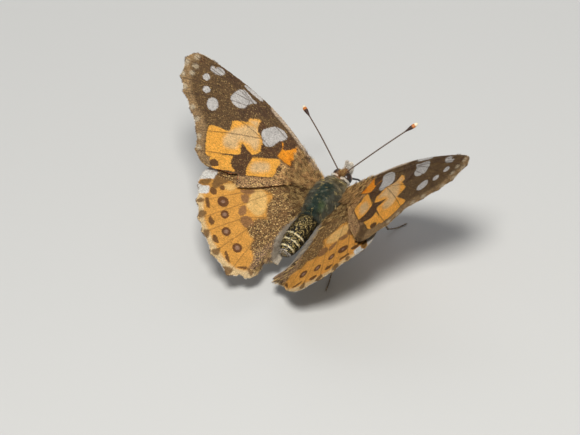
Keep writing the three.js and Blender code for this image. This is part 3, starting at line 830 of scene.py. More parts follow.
foreUpper = veinLayered(scaledMaterial("forewingUpper", (92, 68, 40), [
    ("olive", (150, 121, 84), 0.25, 0.5, 0.75),
    ("base", (180, 136, 86), 0.25, 0.5, 0.9),
    ("inner", (158, 122, 86), 0.4, 0.5, 0.8),
    ("orange", (222, 160, 64), 0.1, 0.06, 1.0),
    ("pale", (206, 174, 126), 0.25, 0.5, 0.9),
    ("bright", (224, 142, 28), 0.1, 0.08, 1.0),
    ("deep", (74, 50, 32), 0.2, 0.3, 0.7),
    ("dark", (82, 54, 30), 0.1, 0.06, 0.95),
    ("white", (184, 180, 176), 0.08, 0.06, 0.97),
    ("cream", (190, 176, 150), 0.25, 0.25, 0.7),
    ("costa", (186, 166, 144), 0.12, 0.25, 0.8),
] + fleckLayers, fine=0.4, broad=0.2), (70, 48, 30), 0.12, 0.6)
hindUpper = veinLayered(scaledMaterial("hindwingUpper", (206, 148, 66), [
    ("base", (112, 84, 54), 0.3, 0.35, 0.92),
    ("inner", (150, 120, 94), 0.4, 0.6, 0.8),
    ("strip", (168, 157, 140), 0.15, 0.25, 0.95),
    ("pink", (174, 134, 98), 0.3, 0.4, 0.75),
    ("pale", (218, 180, 112), 0.2, 0.3, 0.85),
    ("blotch", (138, 98, 62), 0.12, 0.12, 0.9),
    ("cream", (208, 184, 140), 0.25, 0.35, 0.85),
    ("white", (204, 204, 200), 0.1, 0.1, 0.95),
    ("margin", (116, 84, 46), 0.15, 0.12, 0.9),
    ("dark", (96, 62, 32), 0.1, 0.08, 0.92),
    ("ring", (98, 60, 32), 0.06, 0.06, 0.97),
    ("pupil", (158, 124, 100), 0.08, 0.08, 0.8),
] + fleckLayers, fine=0.3, broad=0.2), (120, 84, 44), 0.12, 0.5)
foreLower = veinLayered(scaledMaterial("forewingLower", (118, 94, 66), [
    ("orange", (214, 128, 76), 0.12, 0.15, 1.0),
    ("pale", (222, 176, 140), 0.25, 0.4, 0.6),
    ("olive", (160, 138, 104), 0.2, 0.25, 0.95),
    ("dark", (52, 38, 30), 0.1, 0.08, 0.95),
    ("ring", (60, 44, 32), 0.08, 0.08, 0.9),
    ("white", (226, 220, 206), 0.08, 0.06, 0.97),
    ("cream", (214, 198, 170), 0.2, 0.2, 0.85),
    ("pupil", (110, 124, 140), 0.08, 0.08, 0.9),
], fine=0.25, broad=0.15), (206, 190, 160), 0.12, 0.5)
hindLower = veinLayered(scaledMaterial("hindwingLower", (166, 146, 114), [
    ("olive", (120, 98, 66), 0.2, 0.1, 0.95),
    ("pale", (222, 212, 190), 0.2, 0.12, 0.95),
    ("blotch", (178, 150, 112), 0.2, 0.3, 0.9),
    ("cream", (204, 188, 158), 0.2, 0.3, 0.85),
    ("margin", (112, 118, 128), 0.1, 0.08, 0.9),
    ("ring", (84, 62, 40), 0.08, 0.08, 0.95),
    ("iris", (206, 182, 112), 0.06, 0.06, 0.9),
    ("pupil", (74, 92, 112), 0.08, 0.06, 0.95),
], fine=0.3, broad=0.25), (220, 208, 182), 0.16, 0.8)

wingMaterials = {"forewing": (foreUpper, foreLower), "hindwing": (hindUpper, hindLower)}
for wingName in wear:
    buildWing(wingName, wingMaterials[wingKind(wingName)[0]])
print("wings built")

# Body: one closed skin. Knots are fore, left, up of the line, then half width, rise and depth, mm.
bodySizes = {
    "around": 96, "spacing": 0.06, "rings": 7, "ringDepth": 0.07, "ringStart": -7.3, "ringEnd": -15.6,
    "grooveDepth": 0.07,
}
bodyKnots = [
    (3.76, 0, -0.70, 0.03, 0.03, 0.03),
    (3.66, 0, -0.69, 0.30, 0.30, 0.34),
    (3.4, 0, -0.66, 0.56, 0.52, 0.62),
    (3.0, 0, -0.59, 0.76, 0.70, 0.84),
    (2.5, 0, -0.53, 0.84, 0.78, 0.96),
    (1.9, 0, -0.53, 0.80, 0.74, 0.95),
    (1.5, 0, -0.56, 0.80, 0.72, 0.95),
    (1.15, 0, -0.58, 1.08, 0.94, 1.12),
    (0.6, 0, -0.52, 1.58, 1.34, 1.66),
    (-0.6, 0, -0.40, 2.08, 1.72, 2.3),
    (-2.0, 0, -0.35, 2.28, 1.90, 2.52),
    (-3.6, 0, -0.35, 2.24, 1.86, 2.5),
    (-5.2, 0, -0.38, 1.92, 1.58, 2.1),
    (-6.4, 0, -0.42, 1.6, 1.22, 1.6),
    (-7.0, 0.03, -0.38, 1.52, 1.18, 1.5),
    (-7.8, 0.08, -0.30, 1.68, 1.46, 1.68),
    (-9.3, 0.16, -0.20, 1.84, 1.7, 1.86),
    (-11.0, 0.24, -0.22, 1.88, 1.76, 1.9),
    (-12.5, 0.32, -0.30, 1.8, 1.7, 1.84),
    (-14.0, 0.36, -0.45, 1.5, 1.42, 1.56),
    (-15.0, 0.4, -0.60, 1.02, 0.98, 1.06),
    (-15.55, 0.4, -0.65, 0.56, 0.54, 0.57),
    (-15.75, 0.4, -0.66, 0.03, 0.03, 0.03),
]


def bodyLine():
    dense = smoothLine(bodyKnots, 24)
    travel = travelAlong(dense[:, [0, 3]])
    return sampleLine(dense, travel, np.linspace(0, travel[-1], int(travel[-1] / bodySizes["spacing"])))


# How many of the abdomen's rings lie before a place.
def ringPhase(fore):
    span = bodySizes["ringStart"] - bodySizes["ringEnd"]
    return (bodySizes["ringStart"] - fore) / span * bodySizes["rings"]


# The body's skin. Two grooves and a line between them run along the top of the thorax.
def buildSkin(material):
    stations = bodyLine()
    around = bodySizes["around"]
    angles = np.arange(around) / around * 2 * math.pi
    phase = ringPhase(stations[:, 0])
    onRings = smoothStep(0, 0.4, phase) * (1 - smoothStep(6.6, 7, phase))
    fold = 1 - bodySizes["ringDepth"] * (1 - (phase % 1) ** 0.5) * onRings
    places = []
    for i, (f, left, up, wide, rise, depth) in enumerate(stations):
        across = np.sin(angles) * wide * fold[i]
        height = np.where(np.cos(angles) > 0, np.cos(angles) * rise, np.cos(angles) * depth) * fold[i]
        onBack = smoothStep(-5.4, -4.8, f) * (1 - smoothStep(-0.8, 0.2, f))
        onLine = smoothStep(-5.6, -5, f) * (1 - smoothStep(-0.6, 0.4, f))
        groove = np.exp(-((np.abs(across) - 0.9) / 0.16) ** 2) * onBack
        midline = np.exp(-(across / 0.12) ** 2) * onLine
        height = height - bodySizes["grooveDepth"] * (groove + midline) * (np.cos(angles) > 0)
        places.append(np.stack([left + across, np.full(around, f), up + height], -1))
    places = np.concatenate(places)
    piece = meshObject("body_skin", bodyToRow(places), tubeFaces(len(stations), around), material)
    smoothShade(piece)
    return piece, places


# Fields that place the body's colours, each positive where its tint lies, mm.
def bodyFields(places):
    left, fore, up = places.T
    side = np.abs(left)
    # A greenish patch on the right of the thorax's back only: a painted sheen.
    paintedSheen = 0.6 - np.hypot((left + 1.0) / 0.8, (fore + 4.7) / 1.1)
    flat = np.stack([left, fore], -1)
    # Pale lines on the thorax's back: sutures, and painted highlight streaks.
    sutureAndHighlightLines = [[(-0.2, -3.1), (-1.1, -3.5), (-2.1, -4.5)], [(0.45, -2.8), (-0.5, -1.8)]]
    sutureAndHighlight = 0.06 - np.min([lineDistance(flat, line) for line in sutureAndHighlightLines], axis=0)
    band = (ringPhase(fore) % 1 - 0.8) * 1.2 - smoothStep(-11.6, -10.6, fore) - 0.3 * (side < 0.1)
    fields = {
        "side": np.where(fore > -7, side - 1.3 + 0.3 * smoothStep(-3.5, -6, fore), -1.0) * 0.8,
        "collar": np.minimum(fore + 0.1 + 0.5 * side, 1.9 - fore),
        "head": fore - 1.6,
        "paintedSheen": np.where(up > 0, paintedSheen, -1),
        "sutureAndHighlight": np.where(up > 0, sutureAndHighlight, -1),
        "abdomen": -7.0 - fore,
        "band": np.where((fore < -7.4) & (fore > -15.2), band, -1),
        "belly": -up - 1.15,
        "tip": -15.3 - fore,
    }
    return {name: np.clip(values, -1, 1) for name, values in fields.items()}


skinMaterial = scaledMaterial("bodySkin", (48, 62, 54), [
    ("side", (108, 104, 88), 0.5, 0.5, 0.9),
    ("collar", (136, 124, 98), 0.5, 0.5, 0.85),
    ("head", (160, 116, 70), 0.3, 0.2, 0.9),
    # The greenish patch on the right of the thorax's back is a painted sheen.
    ("paintedSheen", (96, 116, 62), 0.4, 0.3, 0.6),
    # The pale lines on the thorax's back are sutures and painted highlight streaks.
    ("sutureAndHighlight", (176, 168, 140), 0.03, 0.05, 0.6),
    ("abdomen", (26, 22, 17), 0.3, 0.3, 0.98),
    ("fleck", (228, 200, 126), 0.05, 0.1, 0.95),
    ("band", (228, 214, 172), 0.06, 0.08, 0.95),
    ("belly", (160, 144, 118), 0.3, 0.4, 0.85),
    ("tip", (128, 112, 88), 0.2, 0.2, 0.6),
], fine=0.3, broad=0.3, roughness=0.45)
skin, skinPlaces = buildSkin(skinMaterial)
for field, values in bodyFields(skinPlaces).items():
    storeFloats(skin.data, field, values)
storeFloats(skin.data, "fleck", np.full(len(skinPlaces), -1))
storeVectors(skin.data, "place", skinPlaces)
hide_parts("head", "thorax", "abdomen")
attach(skin, "root")
print("skin built", len(skin.data.polygons), "faces")

# Coat: small blades set on root points by Geometry Nodes. patchSize is a blade's room on the unwrap.
patchSize = 0.003


# A blade of the coat. strands are (x, lean x, lean y, length, width); sides is 2 for a flat scale.
def bladeObject(name, strands, sides, bend):
    vertices, faces, patches = [], [], []
    thick = 0.0 if sides == 2 else 1.0
    for x, leanX, leanY, length, width in strands:
        base = len(vertices)
        for t in (0.0, 0.55):
            ease = width * (1 - 0.25 * t)
            middle = np.array([x + leanX * t, bend * t * (1 - t) * 2 + leanY * t * t, length * t])
            for j in range(sides):
                angle = 2 * math.pi * j / sides
                vertices.append(middle + [math.cos(angle) * ease / 2, math.sin(angle) * ease / 2 * thick, 0])
                patches.append((x + math.cos(angle) * 0.4, t * 0.8))
        vertices.append([x + leanX, leanY, length])
        patches.append((x, 1.0))
        for j in range(sides if sides > 2 else 1):
            k = (j + 1) % sides
            faces.append((base + j, base + k, base + sides + k, base + sides + j))
            faces.append((base + sides + j, base + sides + k, base + 2 * sides))
    piece = meshObject(name, vertices, faces)
    storeVectors(piece.data, "patch", [(u * patchSize, v * patchSize, 0) for u, v in patches])
    return piece


# The tree that puts a blade on each root, gives it its spot on the unwrap and its material.
def coatTree():
    tree = bpy.data.node_groups.new("coatOnRoots", "GeometryNodeTree")
    for title, kind in (("Roots", "Geometry"), ("Blade", "Object"), ("Finish", "Material")):
        tree.interface.new_socket(title, in_out="INPUT", socket_type="NodeSocket" + kind)
    tree.interface.new_socket("Coat", in_out="OUTPUT", socket_type="NodeSocketGeometry")
    nodes = Nodes(tree)
    given, result = nodes.add("NodeGroupInput"), nodes.add("NodeGroupOutput")

    def named(name):
        given = nodes.add("GeometryNodeInputNamedAttribute", {"data_type": "FLOAT_VECTOR"}, Name=name)
        return given.outputs[0]

    turned = nodes.add("FunctionNodeAxesToRotation", {"primary_axis": "Z", "secondary_axis": "Y"})
    nodes.put(turned, 0, named("lie"))
    nodes.put(turned, 1, named("rise"))
    blade = nodes.add("GeometryNodeObjectInfo", Object=given.outputs["Blade"])
    placed = nodes.add("GeometryNodeInstanceOnPoints", Points=given.outputs["Roots"],
                       Instance=blade.outputs["Geometry"], Rotation=turned.outputs[0], Scale=named("size"))
    real = nodes.add("GeometryNodeRealizeInstances", Geometry=placed.outputs[0])
    spot = nodes.add("ShaderNodeVectorMath", {"operation": "ADD"})
    nodes.put(spot, 0, named("rootSpot"))
    nodes.put(spot, 1, named("patch"))
    mapped = nodes.add("GeometryNodeStoreNamedAttribute", {"data_type": "FLOAT2", "domain": "CORNER"},
                       Geometry=real.outputs[0], Name="OFBake")
    nodes.put(mapped, "Value", spot.outputs[0])
    finished = nodes.add("GeometryNodeSetMaterial", Geometry=mapped.outputs[0],
                         Material=given.outputs["Finish"])
    nodes.put(result, 0, finished.outputs[0])
    return tree


coatOnRoots = coatTree()


# Root points with their directions (row frame), sizes in mm, spots on the unwrap and marking fields.
def addCoat(name, spots, lie, rise, size, rootSpot, fields, places, blade, material, slot):
    roots = meshObject(name, spots, [])
    mesh = roots.data
    storeVectors(mesh, "lie", lie)
    storeVectors(mesh, "rise", rise)
    storeVectors(mesh, "size", np.asarray(size) * millimetre)
    storeVectors(mesh, "rootSpot", rootSpot)
    storeVectors(mesh, "place", places)
    for field, values in fields.items():
        storeFloats(mesh, field, values)
    grown = roots.modifiers.new("coat", "NODES")
    grown.node_group = coatOnRoots
    inputs = [item for item in coatOnRoots.interface.items_tree if item.in_out == "INPUT"]
    sockets = {item.name: item.identifier for item in inputs}
    grown[sockets["Blade"]] = blade
    grown[sockets["Finish"]] = material
    bpy.context.view_layer.update()
    evaluated = roots.evaluated_get(bpy.context.evaluated_depsgraph_get())
    solid = bpy.data.meshes.new_from_object(evaluated)
    roots.modifiers.remove(grown)
    roots.data = solid
    for spare in ("lie", "rise", "size", "rootSpot", "patch"):
        if spare in solid.attributes:
            solid.attributes.remove(solid.attributes[spare])
    smoothShade(roots)
    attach(roots, "root")
    print(name, len(solid.polygons), "faces")


# A blade's size: its width across and its length.
def bladeSize(width, length):
    length = np.ravel(length)
    width = np.broadcast_to(width, length.shape)
    return np.stack([width, width, length], -1)


hairBlade = bladeObject("hair_blade", [
    (0.0, 0.05, 0.1, 1.0, 0.13), (0.25, 0.35, 0.05, 0.8, 0.11), (-0.22, -0.3, 0.16, 0.9, 0.11),
    (0.1, -0.12, -0.04, 0.7, 0.1),
], 3, 0.12)
scaleBlade = bladeObject("scale_blade", [(0.0, 0.0, 0.0, 1.0, 1.0)], 2, 0.06)
fringeBlade = bladeObject("fringe_blade", [
    (0, 0, 0, 1, 0.3), (0.4, 0.3, 0, 0.85, 0.26), (-0.4, -0.25, 0, 0.9, 0.26),
], 2, 0.05)

# Eye centres in body axes, mirrored for the right one, and their radii, mm.
eyeSizes = {
    "left": (0.78, 2.6, -0.48), "right": (0.94, 2.5, -0.62), "radii": (0.95, 0.98, 1.08), "facets": 11000.0,
}

# Body coat: tufts per square mm, and their length, width and how far they stand out, by region.
coatRegions = {
    "head": {"density": 90, "length": 0.6, "width": 0.5, "stand": 0.8, "lie": (0.25, 0.7, 0.5)},
    "crown": {"density": 130, "length": 1.15, "width": 0.5, "stand": 0.9, "lie": (0.9, 0.15, 0.5)},
    "collar": {"density": 60, "length": 1.0, "width": 0.7, "stand": 0.6, "lie": (0.6, -0.5, 0.4)},
    "back": {"density": 34, "length": 0.6, "width": 0.5, "stand": 0.18, "lie": (0.12, -1, 0)},
    "flank": {"density": 40, "length": 1.45, "width": 0.65, "stand": 0.5, "lie": (0.75, -0.85, 0.25)},
    "rear": {"density": 40, "length": 1.3, "width": 0.6, "stand": 0.32, "lie": (0.4, -1, 0.1)},
    "abdomen": {"density": 150, "length": 0.2, "width": 0.17, "stand": 0.22, "lie": (0.05, -1, 0)},
    "belly": {"density": 28, "length": 0.75, "width": 0.8, "stand": 0.25, "lie": (0.1, -1, -0.2)},
}

# Where the coat's regions end, mm in body axes.
coatLimits = {
    "head": 1.7, "crownFront": 3.1, "crownLow": -0.25, "collar": 0.3, "rear": -5.2, "abdomen": -7.1,
    "belly": -1.3, "flank": 1.45, "flankLow": 0.2, "eye": 1.04,
}


def regionOf(place):
    left, fore, up = place
    if fore > coatLimits["head"]:
        return "crown" if up > coatLimits["crownLow"] and fore < coatLimits["crownFront"] else "head"
    if fore > coatLimits["collar"]:
        return "collar"
    if fore < coatLimits["abdomen"]:
        return "abdomen"
    if up < coatLimits["belly"]:
        return "belly"
    if abs(left) > coatLimits["flank"] or up < coatLimits["flankLow"]:
        return "flank"
    return "rear" if fore < coatLimits["rear"] else "back"


# How far places are from the centre of the nearer eye, in eye radii.
def eyeReach(places):
    centres = [np.array(eyeSizes[sideName]) * [sign, 1, 1] for sideName, sign in bothSides]
    gaps = [(places - centre) / eyeSizes["radii"] for centre in centres]
    return np.linalg.norm(gaps, axis=2).min(0)


# The skin's triangles as numbers of their corners, and its points in mm.
def skinTriangles():
    mesh = skin.data
    mesh.calc_loop_triangles()
    triangles = np.zeros(len(mesh.loop_triangles) * 3, np.int32)
    mesh.loop_triangles.foreach_get("vertices", triangles)
    spots = np.zeros(len(mesh.vertices) * 3, np.float32)
    mesh.vertices.foreach_get("co", spots)
    return triangles.reshape(-1, 3), spots.reshape(-1, 3) * 1000.0


# Tufts strewn evenly over the skin, as thick as each region asks, and laid along it.
def growBodyCoat():
    triangles, spots = skinTriangles()
    corners = spots[triangles]
    across = np.cross(corners[:, 1] - corners[:, 0], corners[:, 2] - corners[:, 0])
    area = np.linalg.norm(across, axis=1) / 2
    middles = skinPlaces[triangles].mean(1)
    regions = [regionOf(place) for place in middles]
    density = np.array([coatRegions[r]["density"] for r in regions]) * (eyeReach(middles) > coatLimits["eye"])
    picked = np.repeat(np.arange(len(triangles)), dice.poisson(area * density))
    count = len(picked)
    weights = dice.dirichlet((1, 1, 1), count)
    roots = (corners[picked] * weights[:, :, None]).sum(1)
    places = (skinPlaces[triangles[picked]] * weights[:, :, None]).sum(1)
    normal = unit(across)[picked]
    table = [coatRegions[regions[i]] for i in picked]
    left, fore, up = places.T
    lieLocal = np.array([row["lie"] for row in table])
    lieLocal[:, 0] *= np.where(left < 0, -1.0, 1.0) * np.clip(np.abs(left) / 0.7, 0, 1)
    lieLocal += dice.normal(0, 0.16, lieLocal.shape)
    lie = unit(lieLocal @ rowAxes)
    flat = unit(lie - normal * (lie * normal).sum(1, keepdims=True))
    stand = np.array([row["stand"] for row in table]) * dice.uniform(0.6, 1.4, count)
    lie = unit(flat + normal * stand[:, None])
    length = np.array([row["length"] for row in table]) * dice.uniform(0.7, 1.25, count)
    length *= 1 - 0.5 * smoothStep(-14.6, -15.6, fore)
    size = bladeSize([row["width"] for row in table], length)
    angle = np.arctan2(left, up) / (2 * math.pi) + 0.5
    rootSpot = np.stack([angle * 0.97 + 0.01, (fore + 16) / 20.2, np.zeros(count)], -1)
    fields = bodyFields(places)
    onAbdomen = fore < coatLimits["abdomen"]
    onHead = fore > coatLimits["collar"]
    fields["tone"] = dice.normal(0, 1, count) * np.where(onAbdomen, 0.25, 0.4)
    share = np.where(onAbdomen, 0.15, np.where(onHead, 0.14, 0.05))
    fields["fleck"] = np.where(dice.random(count) < share, np.where(onAbdomen, 0.5, 0.04), -1.0)
    for name, chosen, blade, slot in (
        ("head_coat", onHead, hairBlade, "body_hair"),
        ("thorax_coat", ~onHead & ~onAbdomen, hairBlade, "body_hair"),
        ("abdomen_coat", onAbdomen, scaleBlade, "abdomen"),
    ):
        kept = {key: values[chosen] for key, values in fields.items()}
        addCoat(name, roots[chosen] * millimetre, lie[chosen], normal[chosen], size[chosen], rootSpot[chosen],
                kept, places[chosen], blade, skinMaterial, slot)


growBodyCoat()

# Wing coat, mm: rows of scales round the wing's root, hair-scales near the root and a fringe.
scaleSizes = {
    "firstRow": 1.2, "lastRow": 38, "rowStep": 0.135, "acrossStep": 0.115, "length": 0.24, "width": 0.135,
    "tilt": 0.16, "lost": 0.04, "lift": 0.004,
}
wingHair = {"count": 42000, "share": 0.6, "width": 0.5, "length": 1.15, "near": 2.5, "far": 9.0}
fringeSizes = {
    "step": 0.085, "width": 0.16, "length": 0.42, "inset": 0.08, "sink": 0.03, "lost": 0.08,
    "darkReach": 0.75,
}


# Places on one face of a wing, and the distance from each to the nearest vein, mm.
def wingFace(kind, spots, below):
    gap, height, half = wingSheet(kind, spots, ringDistance(spots, wingOutline(designs[kind])))
    half = half + scaleSizes["lift"]
    return np.column_stack([spots, height + (-half if below else half)]), gap


def wingNormal(side, below):
    flat = wingToRow([[0, 0, 0], [1, 0, 0], [0, 1, 0]], side)
    normal = np.cross(flat[1] - flat[0], flat[2] - flat[0])
    normal = unit(normal) * (1 if normal[2] > 0 else -1)
    return -normal if below else normal


def keptOnWing(name, spots):
    return onWing(spots, wingOutline(designs[wingKind(name)[0]]), wingBites(name))


# Blades on a wing's face. Along says which way each lies in the wing's plane, and stand how far it rises.
def addWingCoat(name, title, below, face, along, stand, size, fields, blade, material):
    side = wingKind(name)[1]
    spots, count = face[:, :2], len(face)
    roots = wingToRow(face, side)
    ahead = wingToRow(face + np.column_stack([along * 0.1, np.zeros(count)]), side)
    normal = wingNormal(side, below)
    lie = unit(unit(ahead - roots) + normal * stand)
    rootSpot = np.column_stack([(spots[:, 0] + 4) / 36, (spots[:, 1] + 27) / 36, np.zeros(count)])
    addCoat(f"{name}_{title}", roots, lie, np.tile(normal, (count, 1)), size, rootSpot, fields,
            grainPlaces(spots, below), blade, material, "wing")


def growWingScales(name, below, material):
    kind = wingKind(name)[0]
    centre = np.array([-3.0, 1.0] if kind == "forewing" else [-3.5, 1.5])
    rows = []
    radius = scaleSizes["firstRow"]
    while radius < scaleSizes["lastRow"]:
        count = int(2 * math.pi * radius / scaleSizes["acrossStep"])
        angles = (np.arange(count) + 0.5 * (len(rows) % 2)) / count * 2 * math.pi
        rows.append(np.stack([centre[0] + radius * np.cos(angles), centre[1] + radius * np.sin(angles)], -1))
        radius += scaleSizes["rowStep"]
    spots = np.concatenate(rows)
    spots = spots + dice.normal(0, 0.018, spots.shape)
    spots = spots[keptOnWing(name, spots)]
    spots = spots[dice.random(len(spots)) > scaleSizes["lost"]]
    face, gap = wingFace(kind, spots, below)
    along = unit(unit(spots - centre) + dice.normal(0, 0.09, spots.shape))
    stand = scaleSizes["tilt"] * dice.uniform(0.5, 1.5, (len(spots), 1))
    size = bladeSize(scaleSizes["width"], np.full(len(spots), scaleSizes["length"]))
    size = size * dice.uniform(0.8, 1.15, (len(spots), 1))
    fields = wingFields(kind, spots, below)
    strewFlecks(kind, fields, below, 1.0)
    fields["vein"] = np.minimum(gap, 2)
    title = "scales_below" if below else "scales_above"
    addWingCoat(name, title, below, face, along, stand, size, fields, scaleBlade, material)


for wingName in wear:
    for below, material in enumerate(wingMaterials[wingKind(wingName)[0]]):
        growWingScales(wingName, bool(below), material)


# Long hair-scales over the inner part of each wing's upper side.
def growWingHair(name, material):
    kind = wingKind(name)[0]
    centre = np.array([-2.5, 0.0] if kind == "forewing" else [-2.5, 0.5])
    spots = dice.uniform((-1.5, -21), (10, 3), (wingHair["count"], 2))
    spots = spots[keptOnWing(name, spots)]
    reach = np.hypot(*(spots - centre).T)
    inner = (1 - smoothStep(-1.4, 0.6, spots[:, 0])) if kind == "hindwing" else 0
    chance = np.maximum(1 - smoothStep(wingHair["near"], wingHair["far"], reach), inner * 0.5)
    spots = spots[dice.random(len(spots)) < chance * wingHair["share"]]
    count = len(spots)
    along = unit(unit(spots - centre) + dice.normal(0, 0.22, spots.shape))
    stand = dice.uniform(0.05, 0.35, (count, 1))
    size = bladeSize(wingHair["width"], wingHair["length"] * dice.uniform(0.5, 1.2, (count, 1)))
    fields = wingFields(kind, spots, False)
    strewFlecks(kind, fields, False, 1.5)
    fields["vein"] = np.full(count, 2.0)
    face, _ = wingFace(kind, spots, False)
    addWingCoat(name, "hair", False, face, along, stand, size, fields, hairBlade, material)


# The fringe along the outer margin, from the tip's curve on: pale, and dark at the vein ends.
def growFringe(name, material):
    kind = wingKind(name)[0]
    design = designs[kind]
    start = len(smoothLine(design["costa"], outlineSteps["costa"])) + 2
    end = start + 7 + outlineSteps["margin"] * (len(design["margin"]) - 1)
    edge = wingOutline(design)[start:end]
    travel = travelAlong(edge)
    spots = sampleLine(edge, travel, np.arange(0, travel[-1], fringeSizes["step"]))
    ahead = np.gradient(spots, axis=0)
    away = unit(np.stack([-ahead[:, 1], ahead[:, 0]], -1))
    away *= np.sign(((spots - [8, -6]) * away).sum(1, keepdims=True))
    spots = spots - away * fringeSizes["inset"]
    kept = keptOnWing(name, spots) & (dice.random(len(spots)) > fringeSizes["lost"])
    spots, away = spots[kept], away[kept]
    count = len(spots)
    face, gap = wingFace(kind, spots, False)
    face[:, 2] -= fringeSizes["sink"]
    along = unit(away + dice.normal(0, 0.15, away.shape))
    size = bladeSize(fringeSizes["width"], fringeSizes["length"] * dice.uniform(0.6, 1.15, (count, 1)))
    fields = {
        "pale": 0.9 - 1.8 * (gap < fringeSizes["darkReach"]),
        "tone": dice.normal(0, 0.15, count),
    }
    addWingCoat(name, "fringe", False, face, along, 0, size, fields, fringeBlade, material)


fringeMaterial = scaledMaterial("fringe", (96, 74, 50), [("pale", (206, 198, 184), 0.1, 0.2, 0.95)])
for wingName in wear:
    growWingHair(wingName, wingMaterials[wingKind(wingName)[0]][0])
    growFringe(wingName, fringeMaterial)
print("coat grown")


def turnOutward(piece):
    edit = bmesh.new()
    edit.from_mesh(piece.data)
    bmesh.ops.recalc_face_normals(edit, faces=edit.faces)
    edit.to_mesh(piece.data)
    edit.free()


# Tubes with round sections along smooth lines, joined into one piece. Each is (points, radii(t), squash).
def buildTubes(name, tubes, sides, perSpan, material, nodeNames):
    vertices, faces, travel = [], [], []
    hint = np.array([0.13, 0.21, 1.0])
    angles = np.arange(sides) / sides * 2 * math.pi
    for points, radii, squash in tubes:
        line = smoothLine(points, perSpan)
        ahead = unit(np.gradient(line, axis=0))
        along = travelAlong(line)
        along = along / along[-1]
        faces.extend(tubeFaces(len(line), sides, len(travel)))
        for i, spot in enumerate(line):
            up = unit(hint - ahead[i] * (hint @ ahead[i]))
            across = np.cross(ahead[i], up)
            radius = radii(along[i])
            ring = np.outer(np.cos(angles), across) * radius + np.outer(np.sin(angles), up) * radius * squash
            vertices.append(spot + ring)
            travel.extend([along[i]] * sides)
    piece = meshObject(name, np.concatenate(vertices), faces, material)
    storeFloats(piece.data, "along", travel)
    smoothShade(piece)
    turnOutward(piece)
    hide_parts(*nodeNames)
    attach(piece, "root")


def through(values):
    knots = np.array(values, float)
    spots = np.linspace(0, 1, len(knots))
    return lambda t: float(np.interp(t, spots, knots))


# Antennae with pale rings and a club. Foot, bow and reach are mm in body axes.
antennaSizes = {
    "shaft": 0.115, "club": 0.37, "rings": 46, "clubStart": 0.83, "clubFull": 0.94,
    "foot": (0.52, 2.75, 0.25), "bow": 0.5, "left": (12.5, 8.4, 2.0), "right": (8.2, 12.4, 3.4),
}
# The club's tints: where each begins and is full, as parts of the length, and its colour.
clubTints = [
    (0.82, 0.87, (58, 34, 22)),
    (0.925, 0.94, (196, 116, 50)),
    (0.958, 0.972, (244, 232, 200)),
]


def antennaMaterial():
    material, nodes, shader = newMaterial("antennaHorn")
    along = nodes.attribute("along")
    ringed = nodes.math("FRACT", nodes.math("MULTIPLY", along, float(antennaSizes["rings"])))
    pale = nodes.math("MULTIPLY", nodes.ramp(ringed, 0.72, 0.86), 0.75)
    color = nodes.mix(pale, srgb(62, 40, 28), srgb(168, 146, 118))
    for start, full, tint in clubTints:
        color = nodes.mix(nodes.ramp(along, start, full), color, srgb(*tint))
    nodes.put(shader, "Base Color", color)
    nodes.put(shader, "Roughness", 0.5)
    addBump(nodes, shader, nodes.noise(nodes.objectSpot(), 9000.0), 0.25, 0.00002)
    return material


def antennaRadius(t):
    ringed = 1 + 0.12 * math.sin(2 * math.pi * antennaSizes["rings"] * t)
    club = float(smoothStep(antennaSizes["clubStart"], antennaSizes["clubFull"], t))
    radius = antennaSizes["shaft"] * ringed * (1 - club) + antennaSizes["club"] * club
    tip = max(0.0, (t - 0.95) / 0.05)
    return radius * math.sqrt(max(0.02, 1 - tip * tip)) * millimetre


antennaFinish = antennaMaterial()
for sideName, sign in bothSides:
    foot = np.array(antennaSizes["foot"])
    reach = np.array(antennaSizes[sideName])
    middle = foot + reach / 2 + antennaSizes["bow"]
    line = smoothLine([foot - [0, 0.1, 0.25], foot, middle, foot + reach], 40)
    buildTubes(f"antenna_{sideName}_horn", [(bodyToRow(line * [sign, 1, 1]), antennaRadius, 1.0)], 12, 3,
               antennaFinish, ["antenna_" + sideName])


def hornMaterial(name, tint, second, scale, roughness):
    material, nodes, shader = newMaterial(name)
    spot = nodes.objectSpot()
    patchy = nodes.ramp(nodes.noise(spot, scale, 3.0), 0.35, 0.65)
    nodes.put(shader, "Base Color", nodes.mix(patchy, srgb(*tint), srgb(*second)))
    nodes.put(shader, "Roughness", roughness)
    addBump(nodes, shader, nodes.noise(spot, scale * 6), 0.3, 0.00003)
    return material


# The tongue, held down: [left, fore, up] mm.
tongueLine = [(0, 3.0, -1.0), (0, 3.4, -1.6), (0, 4.0, -2.8), (0, 5.0, -4.4), (0, 5.8, -5.7), (0, 6.1, -7.4),
              (0, 5.8, -10.7)]
tongueFinish = hornMaterial("tongueHorn", (22, 16, 14), (40, 28, 22), 2500.0, 0.4)
buildTubes("proboscis_tube", [(bodyToRow(tongueLine), lambda t: (0.2 - 0.06 * t) * millimetre, 1.0)], 12, 24,
           tongueFinish, ["proboscis"])


# Eyes: dark brown and faceted, with a paler outer band.
def eyeMaterial():
    material, nodes, shader = newMaterial("eyeGloss")
    spot = nodes.objectSpot()
    cells = nodes.add("ShaderNodeTexVoronoi", {"feature": "F1"}, Vector=spot, Scale=eyeSizes["facets"])
    mottled = nodes.ramp(nodes.noise(spot, 1500.0), 0.4, 0.62)
    inner = nodes.mix(mottled, srgb(30, 20, 14), srgb(58, 38, 26))
    outer = nodes.ramp(nodes.attribute("outer"), 0.62, 0.8)
    nodes.put(shader, "Base Color", nodes.mix(outer, inner, srgb(132, 82, 44)))
    nodes.put(shader, "Roughness", 0.36)
    nodes.put(shader, "Coat Weight", 0.2)
    nodes.put(shader, "Coat Roughness", 0.08)
    addBump(nodes, shader, cells.outputs["Distance"], 0.25, 0.00002)
    return material


eyeFinish = eyeMaterial()


